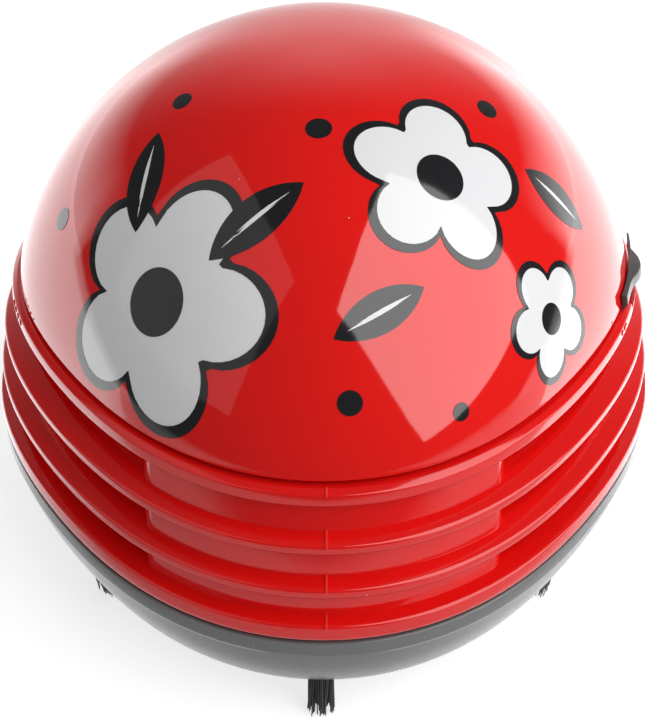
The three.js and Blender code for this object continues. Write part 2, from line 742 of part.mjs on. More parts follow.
// A pan head screw pointing up, its bearing face at height zero, with a cross in its head
function screw(radius, head, height, length) {
  const body = solid(revolve([
    [0, -height], [head * 0.8, -height], [head, -height / 2], [head, 0], [radius, 0], [radius, length], [0, length],
  ], 8));
  const arm = head - radius / 2;
  const low = -height - overrun;
  const deep = -height + Math.min(crossDepth, height * 0.6);
  const cross = [[arm, crossWidth / 2], [crossWidth / 2, arm]].map(([x, y]) => solid(block(-x, x, -y, y, low, deep)));
  return shape(cut(body, ...cross));
}
screwSpots.forEach((at, i) => {
  const length = postZ + screwGrip - clear - (screwSeatZ - clear);
  const mesh = piece(`base_screw_${i + 1}`, screw(screwRadius, screwHeadRadius, screwHeadHeight, length), steel);
  mesh.position.set(at.x, at.y, screwSeatZ - clear);
});
motorScrewX.forEach((x, i) => {
  const height = motorScrewHead / 2;
  const length = motorSeatZ + clear - (canTop - motorScrewGrip);
  const mesh = piece(`motor_screw_${i + 1}`, screw(motorScrewRadius, motorScrewHead, height, length), steel, motor);
  mesh.position.set(x, 0, motorSeatZ + clear);
  mesh.rotation.x = Math.PI;
});

// Cells with their contacts and doors, the right hand one turned end for end
function springPath() {
  class Coil extends THREE.Curve {
    getPoint(t, target = new THREE.Vector3()) {
      const a = Math.PI * 2 * springTurns * t;
      const r = springFoot - springWire + (springTip - springFoot) * t;
      return target.set(r * Math.cos(a), springWire + (springLength - springWire * 2) * t, r * Math.sin(a));
    }
  }
  return new Coil();
}

// Least gap between neighbouring turns of the spring, measured on points
function springGap(path) {
  const samples = Array.from({ length: springTurns * 24 + 1 }, (_, i) => path.getPoint(i / (springTurns * 24)));
  let least = Infinity;
  samples.forEach((a, i) => samples.slice(i + 12).forEach((b) => {
    least = Math.min(least, a.distanceTo(b));
  }));
  return least - springWire * 2;
}

// A five sided section for springs and wires
const pentagon = (radius) => new THREE.Shape(Array.from({ length: 5 }, (_, i) => (
  new THREE.Vector2(Math.cos((Math.PI * 2 * i) / 5), Math.sin((Math.PI * 2 * i) / 5)).multiplyScalar(radius)
)));
const coil = springPath();
console.log('least gap between spring turns, mm', springGap(coil).toFixed(2));

function door() {
  const plateBody = solid(block(-doorHalfX, doorHalfX, -doorHalfY, doorHalfY, 0, doorThick));
  const lugY = bayLength / 2 - clear - doorLugWidth;
  const lugs = [-1, 1].flatMap((sx) => [-1, 1].map((sy) => {
    const [x, y] = [sx * (bayHalf - clear - doorLugThick / 2), sy * (lugY + doorLugWidth / 2)];
    return solid(block(
      x - doorLugThick / 2, x + doorLugThick / 2, y - doorLugWidth / 2, y + doorLugWidth / 2,
      doorThick / 2, doorThick + doorLugRise,
    ));
  }));
  const grips = [-1, 0, 1].map((i) => {
    const y = doorHalfY - doorGripWidth * (4 + i * 2);
    return solid(block(
      -doorHalfX / 2, doorHalfX / 2, y - doorGripWidth / 2, y + doorGripWidth / 2, -overrun, doorGripDepth,
    ));
  });
  return cut(join(plateBody, ...lugs), ...grips);
}

[['left', -1], ['right', 1]].forEach(([side, sign]) => {
  const bay = new THREE.Group();
  bay.position.set(sign * cellX, bayMiddleY, 0);
  vacuum.add(bay);
  piece(`battery_door_${side}`, shape(door()), charcoal, bay).position.z = standHeight;
  const turned = new THREE.Group();
  turned.position.z = cellZ;
  turned.rotation.z = sign > 0 ? Math.PI : 0;
  bay.add(turned);
  const tabY = bayLength / 2 - clear - tabThick;
  const cellEnd = tabY - clear;
  const cell = revolve([
    [0, 0], [cellRadius - motorRound, 0], [cellRadius, motorRound], [cellRadius, cellLength - nubLength - motorRound],
    [cellRadius - motorRound, cellLength - nubLength], [nubRadius, cellLength - nubLength],
    [nubRadius, cellLength], [0, cellLength],
  ], 20).rotateX(-Math.PI / 2);
  piece(`battery_${side}`, shape(solid(cell)), cellSleeve, turned).position.y = cellEnd - cellLength;
  const tab = block(-tabHalfWidth, tabHalfWidth, 0, tabThick, -tabHalfWidth, tabHalfWidth);
  piece(`contact_tab_${side}`, shape(solid(tab)), steel, turned).position.y = tabY;
  const spring = new THREE.ExtrudeGeometry(pentagon(springWire), { steps: springTurns * 8, extrudePath: coil });
  piece(`contact_spring_${side}`, shape(solid(spring)), steel, turned).position.y = -bayLength / 2 + clear;
});

// Slide switch, its toggle and the knob that drives it from outside
const switchGroup = new THREE.Group();
switchGroup.applyMatrix4(switchFrame);
vacuum.add(switchGroup);

function switchBody() {
  const middle = -knobTravel / 2;
  const body = block(
    switchX - switchDepth / 2, switchX + switchDepth / 2,
    middle - switchLength / 2, middle + switchLength / 2, switchTop - switchHeight, switchTop,
  );
  const slot = block(
    switchX - toggleDepth / 2 - clear, switchX + toggleDepth / 2 + clear,
    -toggleWidth / 2 - knobTravel - clear, toggleWidth / 2 + clear, switchTop - toggleSink - clear, switchTop + overrun,
  );
  return cut(solid(body), solid(slot));
}
piece('switch_body', shape(switchBody()), rubberBlack, switchGroup);
piece('switch_toggle', shape(solid(block(
  switchX - toggleDepth / 2, switchX + toggleDepth / 2, -toggleWidth / 2, toggleWidth / 2,
  switchTop - toggleSink, switchTop + toggleRise,
))), innerWhite, switchGroup);

function knob() {
  const half = THREE.MathUtils.radToDeg(knobLength / 2 / domeRadius);
  const travel = THREE.MathUtils.radToDeg(knobTravel / domeRadius);
  const inverse = switchFrame.clone().invert();
  const domeAt = (bearing) => {
    const at = planPoint(domeRadius, bearing);
    return new THREE.Vector3(at.x, at.y, 0).applyMatrix4(inverse);
  };
  const inner = [];
  const outer = [];
  knobBumpShares.forEach(([along, rise]) => {
    const bearing = switchBearing + half * (1 - along * 2);
    const passed = [0, 1 / 2, 1].map((share) => domeAt(bearing - travel * share).x);
    const x = Math.max(...passed) + knobGap;
    const y = domeAt(bearing).y;
    inner.push([x, y]);
    outer.push([x + knobBulge * rise, y]);
  });
  const low = shoulderZ + clear;
  const body = solid(plate([...inner, ...outer.reverse()], low, low + knobHeight));
  const riserIn = knobGap + clear;
  const riser = block(riserIn, riserIn + riserWall, -stemWidth / 2, stemWidth / 2, stemZ, low + knobHeight / 2);
  const stem = block(armInner, riserIn + riserWall, -stemWidth / 2, stemWidth / 2, stemZ, shoulderZ);
  const arm = block(armInner, armOuter, -stemWidth / 2, stemWidth / 2, switchTop + clear, shoulderZ);
  const fork = block(
    armInner - overrun, armOuter + overrun, -toggleWidth / 2 - clear, toggleWidth / 2 + clear,
    switchTop, switchTop + toggleRise + clear,
  );
  return cut(join(body, solid(riser), solid(stem), solid(arm)), solid(fork));
}
piece('power_knob', shape(knob()), charcoal, switchGroup);

// Bristle tufts: tapered three sided strands that fan out from their backing strip
function tuft(bearing) {
  const top = standHeight + strandSink;
  const reach = top + tuftFlat;
  const at = planPoint(brushRadius, bearing);
  const [leanX, leanY] = [tuftLean * Math.sin(rad(bearing)), -tuftLean * Math.cos(rad(bearing))];
  const strands = [];
  for (let i = 0; i < tuftStrands; i += 1) {
    const r = tuftRoot * Math.sqrt((i + 1 / 2) / tuftStrands);
    const a = rad(strandTurn) * i;
    const strand = new THREE.CylinderGeometry(strandRadius, strandRadius * 0.7, reach, 3, 1);
    strand.rotateX(Math.PI / 2).translate(0, 0, -reach / 2);
    const place = strand.attributes.position;
    for (let k = 0; k < place.count; k += 1) {
      const down = -place.getZ(k) / reach;
      const out = r * (1 + (tuftTipShare - 1) * down);
      place.setX(k, place.getX(k) + out * Math.cos(a) + leanX * down);
      place.setY(k, place.getY(k) + out * Math.sin(a) + leanY * down);
    }
    strands.push(solid(strand.translate(at.x, at.y, top)));
  }
  return strands;
}

strips.forEach((strip) => {
  const strands = strip.bearings.flatMap((bearing) => tuft(bearing));
  const backing = stripSolid(strip, 0, standHeight, standHeight + stripThick);
  const ground = solid(block(-rimRadius * 2, rimRadius * 2, -rimRadius * 2, rimRadius * 2, -rimRadius, 0));
  piece(strip.name, shape(cut(join(backing, ...strands), ground)), bristleBlack);
});

// Wires, along routes that keep close to the walls
function wire(name, points, look) {
  const route = new THREE.CatmullRomCurve3(points.map(([x, y, z]) => new THREE.Vector3(x, y, z)));
  piece(name, shape(solid(new THREE.ExtrudeGeometry(pentagon(wireRadius), { steps: wireSteps, extrudePath: route }))), look);
}

// Anchors of the routes: beside the bay ends, the motor's foot and the switch
const wireGap = wireRadius + clear;
const wireZ = motorZ + endcapHeight / 2;
const frontY = bayFront - bayWall - wireGap;
const rearY = bayRear + bayWall + wireGap;
const archReach = bayHalf + bayWall + wireGap + clear;
const linkX = cellX - bayHalf / 2;
const aroundMotor = (bearing) => {
  const reach = motorRadius + wireGap + clear;
  return [reach * Math.sin(rad(bearing)), fanY - reach * Math.cos(rad(bearing)), wireZ];
};
const atSwitch = (x, y, z) => new THREE.Vector3(x, y, z).applyMatrix4(switchFrame).toArray();
const between = (from, to, share) => from + (to - from) * share;
wire('wire_link', [
  [-linkX, rearY, wireZ], [-linkX / 2, rearY, between(wireZ, floorTop + wireGap * 2, 0.4)], [0, rearY, floorTop + wireGap * 2],
  [linkX / 2, rearY, between(wireZ, floorTop + wireGap * 2, 0.4)], [linkX, rearY, wireZ],
], rubberBlack);
const motorEnd = aroundMotor(wireMotorBearing);
wire('wire_motor', [
  [-cellX, frontY, wireZ], [between(-cellX, -bayIn, 0.5), frontY - clear * 2, wireZ], [-(bayIn - clear), frontY, wireZ],
  [-(bayIn - wireGap - clear * 2), between(frontY, motorEnd[1], 0.37), wireZ],
  [between(-bayIn, motorEnd[0], 0.76), between(frontY, motorEnd[1], 0.78), wireZ], motorEnd,
], rubberBlack);
const switchFoot = atSwitch(
  switchX - switchDepth / 4, -knobTravel / 2 - switchLength / 2 - wireGap, switchTop - switchHeight - wireGap,
);
wire('wire_switch', [
  [cellX, frontY, wireZ], [bayOut - wireGap * 3, frontY - wireGap, wireZ + wireGap],
  [bayOut + wireGap * 2, frontY + wireGap * 1.5, wireZ + wireGap * 3],
  [
    between(bayOut + wireGap * 2, switchFoot[0], 0.36),
    between(frontY, switchFoot[1], 0.4), between(wireZ, switchFoot[2], 0.43),
  ], switchFoot,
], wireRed);
wire('wire_return', [
  atSwitch(switchX - switchDepth / 2 - wireGap, -knobTravel / 2, switchTop - switchHeight * 0.75),
  [cellX + wireGap * 3, fanY + bayHalf / 2, cellZ + archReach + wireGap / 2],
  [cellX - archReach * Math.cos(rad(wireArchBearing)), fanY + motorRadius, cellZ + archReach * Math.sin(rad(wireArchBearing))],
  [cellX - archReach, fanY + motorRadius + wireGap * 2, cellZ + wireGap * 2], aroundMotor(wireReturnBearing),
], wireRed);

export default vacuum;
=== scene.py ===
import json
import math
import random

import bpy
from mathutils import Matrix, Vector


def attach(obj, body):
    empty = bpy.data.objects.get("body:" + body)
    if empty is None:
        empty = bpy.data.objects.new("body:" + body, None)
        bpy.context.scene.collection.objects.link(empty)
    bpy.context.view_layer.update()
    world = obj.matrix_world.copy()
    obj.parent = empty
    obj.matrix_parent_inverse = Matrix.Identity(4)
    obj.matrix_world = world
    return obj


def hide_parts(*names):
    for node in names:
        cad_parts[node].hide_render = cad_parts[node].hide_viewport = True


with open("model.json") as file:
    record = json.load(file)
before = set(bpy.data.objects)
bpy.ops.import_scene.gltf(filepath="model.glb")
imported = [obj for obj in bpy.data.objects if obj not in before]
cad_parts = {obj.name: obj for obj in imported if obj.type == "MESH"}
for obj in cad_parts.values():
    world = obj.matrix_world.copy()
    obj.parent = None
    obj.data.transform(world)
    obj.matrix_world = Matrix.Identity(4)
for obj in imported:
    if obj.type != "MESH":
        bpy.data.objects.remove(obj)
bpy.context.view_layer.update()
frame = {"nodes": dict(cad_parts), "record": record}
mm = 0.001

# Plan outline of the shells, the same egg as the solids, in millimetres
plan = {"rim": 50.0, "waves": (0.045, 0.026, 0.018), "shiftY": 1.3, "steps": 144}

# Heights that the shells share
level = {
    "stand": 6.05, "baseTop": 16.5, "rim": 17.0, "topRib": 36.2,
    "shoulder": 38.4, "seam": 39.05, "neckTop": 43.3,
}


def swell(angle):
    return 1 + sum(wave * math.cos((i + 2) * angle) for i, wave in enumerate(plan["waves"]))


def planPoint(radius, bearing):
    angle = math.radians(bearing)
    reach = radius * swell(angle)
    return Vector((reach * math.sin(angle), plan["shiftY"] - reach * math.cos(angle), 0))


def planFrame(radius, bearing):  # local X points outward, local Y runs towards the back on the right side
    step = (planPoint(radius, bearing + 1) - planPoint(radius, bearing - 1)).normalized()
    place = Matrix.Rotation(math.atan2(-step.x, step.y), 4, "Z")
    place.translation = planPoint(radius, bearing)
    return place


# Camera at the photograph's angle, in metres and degrees
shot = {
    "aim": (-0.0002, 0.00668, 0.01806), "pivot": (0, 0.0062, 0.0174), "distance": 0.28,
    "elevation": 36.0, "lens": 90.75, "sensor": 36, "nearest": 0.01,
}


def placeCamera():
    tilt = math.radians(shot["elevation"])
    bpy.ops.object.camera_add()
    camera = bpy.context.object
    camera.name = "shotCamera"
    camera.data.sensor_width = shot["sensor"]
    camera.data.lens = shot["lens"]
    camera.data.clip_start = shot["nearest"]
    back = Vector((0, -math.cos(tilt), math.sin(tilt)))
    camera.location = Vector(shot["pivot"]) + back * shot["distance"]
    camera.rotation_euler = (Vector(shot["aim"]) - camera.location).to_track_quat("-Z", "Y").to_euler()
    bpy.context.scene.camera = camera


placeCamera()
print("camera placed")


# Modelling helpers

weld = 2e-7  # points nearer than this, in metres, become one


def deselectAll():
    if bpy.context.object and bpy.context.object.mode != "OBJECT":
        bpy.ops.object.mode_set(mode="OBJECT")
    bpy.ops.object.select_all(action="DESELECT")


def pickOnly(piece):
    deselectAll()
    piece.select_set(True)
    bpy.context.view_layer.objects.active = piece


def inEdit(piece, shape):
    pickOnly(piece)
    bpy.ops.object.mode_set(mode="EDIT")
    bpy.ops.mesh.select_all(action="SELECT")
    shape()
    bpy.ops.object.mode_set(mode="OBJECT")


def rounded(corners, steps=4):  # corners are (across, up) or (across, up, radius)
    longest = 0.48  # share of a side that its rounding may take
    points = []
    for i, corner in enumerate(corners):
        here = Vector(corner[:2])
        radius = corner[2] if len(corner) > 2 else 0
        if not radius:
            points.append(tuple(here))
            continue
        before = Vector(corners[i - 1][:2]) - here
        after = Vector(corners[(i + 1) % len(corners)][:2]) - here
        turn = before.angle(after)
        reach = min(radius / math.tan(turn / 2), before.length * longest, after.length * longest)
        start, end = here + before.normalized() * reach, here + after.normalized() * reach
        for k in range(steps + 1):
            t = k / steps
            points.append(tuple(start * (1 - t) ** 2 + here * 2 * t * (1 - t) + end * t * t))
    return points


def lathe(name, profile, steps=plan["steps"], sweep=360.0, start=0.0):  # spun, then carried on to the egg
    deselectAll()
    bpy.ops.mesh.primitive_circle_add(vertices=len(profile), radius=mm)
    piece = bpy.context.object
    piece.name = name
    turn = Matrix.Rotation(math.radians(start), 3, "Z")
    for vertex, (across, up) in zip(piece.data.vertices, profile):
        vertex.co = turn @ Vector((0, -across * mm, up * mm))

    def spinRound():
        if sweep < 360.0:
            bpy.ops.mesh.edge_face_add()
        bpy.ops.mesh.spin(steps=steps, angle=-math.radians(sweep), center=(0, 0, 0), axis=(0, 0, 1))
        bpy.ops.mesh.select_all(action="SELECT")
        bpy.ops.mesh.remove_doubles(threshold=weld)
        bpy.ops.mesh.delete_loose()
        bpy.ops.mesh.select_all(action="SELECT")
        bpy.ops.mesh.normals_make_consistent(inside=False)

    inEdit(piece, spinRound)
    for vertex in piece.data.vertices:
        stretch = swell(math.atan2(vertex.co.x, -vertex.co.y))
        vertex.co.x *= stretch
        vertex.co.y = vertex.co.y * stretch + plan["shiftY"] * mm
    return piece


def loft(name, rows, capped=True):  # rows of points in mm, each a closed ring
    across = len(rows[0]) + 1
    deselectAll()
    bpy.ops.mesh.primitive_grid_add(x_subdivisions=across - 1, y_subdivisions=len(rows) - 1, size=1)
    piece = bpy.context.object
    piece.name = name
    for vertex in piece.data.vertices:
        i = round((vertex.co.x + 0.5) * (across - 1))
        j = round((vertex.co.y + 0.5) * (len(rows) - 1))
        vertex.co = Vector(rows[j][i % len(rows[0])]) * mm

    def closeUp():
        bpy.ops.mesh.remove_doubles(threshold=weld)
        if capped:
            bpy.ops.mesh.select_all(action="DESELECT")
            bpy.ops.mesh.select_non_manifold()
            bpy.ops.mesh.edge_face_add()
            bpy.ops.mesh.select_all(action="SELECT")
        bpy.ops.mesh.normals_make_consistent(inside=False)

    inEdit(piece, closeUp)
    return piece


def blocks(name, entries):  # each entry is a low corner, a high corner and a frame, in mm
    corners = 8
    deselectAll()
    bpy.ops.mesh.primitive_cube_add(size=1)
    piece = bpy.context.object
    piece.name = name
    inEdit(piece, lambda: [bpy.ops.mesh.primitive_cube_add(size=1) for _ in entries[1:]])
    for n, (low, high, place) in enumerate(entries):
        low, high = Vector(low), Vector(high)
        for vertex in list(piece.data.vertices)[n * corners:(n + 1) * corners]:
            spot = Vector(low[k] + (high[k] - low[k]) * (vertex.co[k] + 0.5) for k in range(3))
            vertex.co = (place @ spot if place else spot) * mm
    return piece


def rods(name, entries, sides=32):  # each entry is x, y, radius, low, high in mm
    pieces = []
    for x, y, radius, low, high in entries:
        deselectAll()
        middle = (x * mm, y * mm, (low + high) / 2 * mm)
        bpy.ops.mesh.primitive_cylinder_add(
            vertices=sides, radius=radius * mm, depth=(high - low) * mm, location=middle)
        bpy.ops.object.transform_apply(location=True, rotation=True, scale=True)
        pieces.append(bpy.context.object)
    return joined(name, pieces)


def joined(name, pieces):
    deselectAll()
    for piece in pieces:
        piece.select_set(True)
    bpy.context.view_layer.objects.active = pieces[0]
    if len(pieces) > 1:
        bpy.ops.object.join()
    piece = bpy.context.object
    piece.name = name
    return piece


def modify(piece, kind, **settings):
    pickOnly(piece)
    modifier = piece.modifiers.new(kind.lower(), kind)
    for key, value in settings.items():
        setattr(modifier, key, value)
    bpy.ops.object.modifier_apply(modifier=modifier.name)


def combine(piece, tool, operation="DIFFERENCE"):
    modify(piece, "BOOLEAN", operation=operation, solver="EXACT", object=tool)
    bpy.data.objects.remove(tool, do_unlink=True)


def smooth(piece, crease=34.0):
    pickOnly(piece)
    bpy.ops.object.shade_smooth_by_angle(angle=math.radians(crease))


def dress(piece, finish, slot, body, *nodes):
    piece.data.materials.clear()
    piece.data.materials.append(finish)
    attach(piece, body)
    if nodes:
        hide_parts(*nodes)


# Shader helpers

class Sock:
    def __init__(self, finish, socket):
        self.finish, self.socket = finish, socket

    def calc(self, operation, first, second):
        return self.finish.node("ShaderNodeMath", {"operation": operation}, {0: first, 1: second})

    def __add__(self, other):
        return self.calc("ADD", self, other)

    def __radd__(self, other):
        return self.calc("ADD", other, self)

    def __sub__(self, other):
        return self.calc("SUBTRACT", self, other)

    def __rsub__(self, other):
        return self.calc("SUBTRACT", other, self)

    def __mul__(self, other):
        return self.calc("MULTIPLY", self, other)

    def __rmul__(self, other):
        return self.calc("MULTIPLY", other, self)

    def __pow__(self, other):
        return self.calc("POWER", self, other)

    def __gt__(self, other):
        return self.calc("GREATER_THAN", self, other)

    def __lt__(self, other):
        return self.calc("LESS_THAN", self, other)

    def clamp(self, low=0.0, high=1.0):
        return self.finish.node("ShaderNodeClamp", {}, {"Value": self, "Min": low, "Max": high})


class Finish:  # a material's nodes, or the world's
    def __init__(self, name, world=False):
        self.owner = bpy.data.worlds.new(name) if world else bpy.data.materials.new(name)
        self.owner.use_nodes = True
        self.tree = self.owner.node_tree
        self.shader = self.tree.nodes["Background" if world else "Principled BSDF"]

    def node(self, kind, settings=None, inputs=None, output=0):
        node = self.tree.nodes.new(kind)
        for key, value in (settings or {}).items():
            setattr(node, key, value)
        for key, value in (inputs or {}).items():
            self.feed(node.inputs[key], value)
        return Sock(self, node.outputs[output])

    def feed(self, target, value):
        if isinstance(value, Sock):
            self.tree.links.new(value.socket, target)
        else:
            target.default_value = value

    def put(self, name, value):
        self.feed(self.shader.inputs[name], value)

    def place(self):
        return self.node("ShaderNodeTexCoord", {}, {}, "Object")

    def ray(self, kind):
        return self.node("ShaderNodeLightPath", {}, {}, kind)

    def split(self, vector):
        parts = self.node("ShaderNodeSeparateXYZ", {}, {0: vector}).socket.node.outputs
        return [Sock(self, part) for part in parts]

    def surface(self, value):
        self.feed(self.tree.nodes["Material Output"].inputs["Surface"], value)

    def noise(self, scale, detail, roughness=0.5, where=None):
        return self.node("ShaderNodeTexNoise", {}, {
            "Vector": where or self.place(), "Scale": scale, "Detail": detail, "Roughness": roughness})

    def mix(self, share, first, second):  # a Mix node has its colours at 6 and 7 and the mixed one at 2
        return self.node("ShaderNodeMix", {"data_type": "RGBA"}, {0: share, 6: first, 7: second}, 2)

    def bump(self, height, strength, distance):
        return self.node("ShaderNodeBump", {}, {"Strength": strength, "Distance": distance, "Height": height})


def rgb(red, green, blue):
    return (red, green, blue, 1.0)


# Moulded plastic: a slight drift of colour, a fine skin and, on gloss, a few specks of dust
moulding = {
    "driftScale": 38.0, "driftDetail": 3.0, "driftFrom": 0.3, "driftGain": 1.8, "glossDrift": 0.05,
    "dullScale": 900.0, "dullDetail": 2.0, "dullDrift": 0.16,
    "speckScale": 520.0, "patchScale": 260.0, "patchDetail": 1.0, "patchFrom": 0.66,
    "speckRough": 0.4, "speckColor": rgb(0.75, 0.45, 0.42),
}


def mouldedFinish(name, color, shade, rough, skin, dust=0.0, ior=1.5):
    m = moulding
    made = Finish(name)
    drift = made.noise(m["driftScale"], m["driftDetail"])
    tone = made.mix((drift - m["driftFrom"]) * m["driftGain"], rgb(*color), rgb(*shade))
    if dust:
        specks = made.node("ShaderNodeTexVoronoi", {"feature": "F1"}, {
            "Vector": made.place(), "Scale": m["speckScale"]})
        chosen = (made.noise(m["patchScale"], m["patchDetail"]) > m["patchFrom"]) * (specks < dust)
        tone = made.mix(chosen, tone, m["speckColor"])
        made.put("Roughness", (drift - 0.5) * m["glossDrift"] + rough + chosen * m["speckRough"])
    else:
        uneven = made.noise(m["dullScale"], m["dullDetail"])
        made.put("Roughness", (uneven - 0.5) * m["dullDrift"] + rough)
    made.put("Base Color", tone)
    made.put("IOR", ior)
    grain = made.noise(skin["scale"], skin["detail"])
    made.put("Normal", made.bump(grain, skin["strength"], skin["depth"]))
    return made.owner


# Steel and bronze: drawn lines along the stretch
drawnLines = {
    "scale": 260.0, "detail": 4.0, "broken": 0.7, "dark": 0.72, "drift": 0.22,
    "strength": 0.12, "depth": 0.0001,
}


def metalFinish(name, color, rough, stretch):
    d = drawnLines
    made = Finish(name)
    where = made.node("ShaderNodeMapping", {}, {"Vector": made.place(), "Scale": stretch})
    lines = made.noise(d["scale"], d["detail"], d["broken"], where)
    made.put("Base Color", made.mix(lines, rgb(*color), rgb(*[c * d["dark"] for c in color])))
    made.put("Metallic", 1.0)
    made.put("Roughness", (lines - 0.5) * d["drift"] + rough)
    made.put("Normal", made.bump(lines, d["strength"], d["depth"]))
    return made.owner


rubberGrain = {
    "scale": 2600.0, "detail": 3.0, "pale": 1.6, "rough": 0.68, "drift": 0.2,
    "strength": 0.3, "depth": 0.00008,
}


def rubberFinish(name, color):
    r = rubberGrain
    made = Finish(name)
    grain = made.noise(r["scale"], r["detail"])
    made.put("Base Color", made.mix(grain, rgb(*color), rgb(*[c * r["pale"] for c in color])))
    made.put("Roughness", (grain - 0.5) * r["drift"] + r["rough"])
    made.put("Normal", made.bump(grain, r["strength"], r["depth"]))
    return made.owner


weaving = {
    "scale": 420.0, "uneven": 1.2, "detail": 1.0, "fuzzScale": 1500.0, "fuzzDetail": 3.0, "fuzzHeight": 0.5,
    "weaveTone": 0.6, "fuzzTone": 0.3, "dark": 0.62, "rough": 0.92, "strength": 0.5, "depth": 0.0002,
}


def clothFinish(name, color):
    w = weaving
    made = Finish(name)
    threads = [made.node("ShaderNodeTexWave", {"bands_direction": axis}, {
        "Vector": made.place(), "Scale": w["scale"], "Distortion": w["uneven"], "Detail": w["detail"],
    }) for axis in ("X", "Y")]
    weave = threads[0] * threads[1]
    fuzz = made.noise(w["fuzzScale"], w["fuzzDetail"])
    pale = weave * w["weaveTone"] + fuzz * w["fuzzTone"]
    made.put("Base Color", made.mix(pale, rgb(*[c * w["dark"] for c in color]), rgb(*color)))
    made.put("Roughness", w["rough"])
    made.put("Normal", made.bump(weave + fuzz * w["fuzzHeight"], w["strength"], w["depth"]))
    return made.owner


softSkin = {"scale": 240.0, "detail": 1.0, "strength": 0.035, "depth": 0.0004}
satinSkin = {"scale": 2600.0, "detail": 3.0, "strength": 0.16, "depth": 0.00006}
fineSkin = {"scale": 2600.0, "detail": 2.0, "strength": 0.05, "depth": 0.00004}

# Colour, the colour it drifts to, roughness, skin, share of dust and refractive index
moulded = {
    "domeRed": ((0.85, 0.008, 0.006), (0.79, 0.007, 0.005), 0.05, softSkin, 0.045, 1.75),
    "collarRed": ((0.83, 0.008, 0.007), (0.74, 0.007, 0.006), 0.09, softSkin, 0.05, 1.7),
    # a lighter, pinker red than the collar's, for the raised marks: painted highlight, not a colour of their
    # own
    "paintedHighlightRed": ((0.92, 0.05, 0.035), (0.88, 0.04, 0.03), 0.12, softSkin, 0.0, 1.6),
    "printWhite": ((0.86, 0.86, 0.87), (0.82, 0.82, 0.84), 0.07, softSkin, 0.03, 1.6),
    "printBlack": ((0.010, 0.010, 0.012), (0.015, 0.015, 0.017), 0.07, softSkin, 0.03, 1.75),
    "baseGrey": ((0.165, 0.17, 0.172), (0.15, 0.155, 0.158), 0.24, fineSkin, 0.0, 1.6),
    "knobGrey": ((0.07, 0.072, 0.075), (0.058, 0.06, 0.063), 0.34, satinSkin),
    "innerGrey": ((0.30, 0.31, 0.32), (0.26, 0.27, 0.28), 0.42, satinSkin),
    "innerWhite": ((0.72, 0.72, 0.70), (0.66, 0.66, 0.64), 0.4, satinSkin),
    "switchBlack": ((0.03, 0.03, 0.032), (0.024, 0.024, 0.026), 0.4, satinSkin),
    "cellGreen": ((0.05, 0.22, 0.12), (0.04, 0.18, 0.10), 0.25, softSkin),
    "bristleBlack": ((0.04, 0.04, 0.043), (0.065, 0.065, 0.068), 0.4, satinSkin),
}
rubbers = {"wireBlack": (0.02, 0.02, 0.02), "wireRed": (0.42, 0.02, 0.015), "sealRubber": (0.02, 0.02, 0.022)}
metals = {  # colour, roughness, stretch of the drawn lines
    "motorSteel": ((0.55, 0.56, 0.58), 0.34, (1, 1, 9)),
    "brightSteel": ((0.62, 0.63, 0.65), 0.26, (3, 3, 1)),
    "bearingBronze": ((0.60, 0.42, 0.16), 0.36, (2, 2, 2)),
}
finishes = {name: mouldedFinish(name, *values) for name, values in moulded.items()}
finishes.update({name: rubberFinish(name, color) for name, color in rubbers.items()})
finishes.update({name: metalFinish(name, *values) for name, values in metals.items()})
finishes["filterCloth"] = clothFinish("filterCloth", (0.80, 0.78, 0.73))
print("finishes made")

# The record's slots to the finishes of the nodes that stay
slotFinishes = {
    "dome_red": "domeRed", "collar_red": "collarRed", "base_grey": "baseGrey", "knob_grey": "knobGrey",
    "rubber_black": "sealRubber", "inner_grey": "innerGrey", "inner_white": "innerWhite",
    "filter_cloth": "filterCloth", "motor_steel": "motorSteel", "bright_steel": "brightSteel",
    "bearing_brass": "bearingBronze", "switch_black": "switchBlack", "cell_sleeve": "cellGreen",
    "bristle_black": "bristleBlack", "wire_black": "wireBlack", "wire_red": "wireRed",
}
for part in frame["record"]["subparts"]:
    for place in frame["nodes"][part["node"]].material_slots:
        place.material = finishes[slotFinishes[part["material_slot"]]]


# Dome cover

dome = {
    "radius": 45.1, "height": 35.1, "wall": 1.6, "edgeRound": 0.22, "edgeStep": 0.06,
    "bulge": 1.4, "crown": 2.45, "rows": 44, "footShares": [0.008, 0.018], "crease": 40,
}


def domeRow(share, scale=(1.0, 1.0)):
    across = max(0.0, 1 - share ** dome["bulge"]) ** (1 / dome["crown"])
    return (dome["radius"] * across * scale[0], level["seam"] + dome["height"] * share * scale[1])


def makeDome():
    d = dome
    shares = [math.sin(math.pi / 2 * (k / d["rows"])) for k in range(d["rows"] + 1)]
    thin = ((d["radius"] - d["wall"]) / d["radius"], (d["height"] - d["wall"]) / d["height"])
    outside = [domeRow(share) for share in shares[:1] + d["footShares"] + shares[1:]]
    inside = [domeRow(share, thin) for share in shares[::2]]
    across, up = outside[0]
    edge, step = d["edgeRound"], d["edgeStep"]
    foot = [(across - edge, up), (across - step, up + step), (across, up + edge)]
    profile = inside[::-1] + foot + outside[1:]
    profile[0] = (0, profile[0][1])
    profile[-1] = (0, profile[-1][1])
    piece = lathe("domeShell", profile)
    smooth(piece, d["crease"])
    dress(piece, finishes["domeRed"], "dome_red", "dome", "dome_cover")


makeDome()
print("dome made")


# Print on the dome: three blossoms of unlike size, black leaves and dots

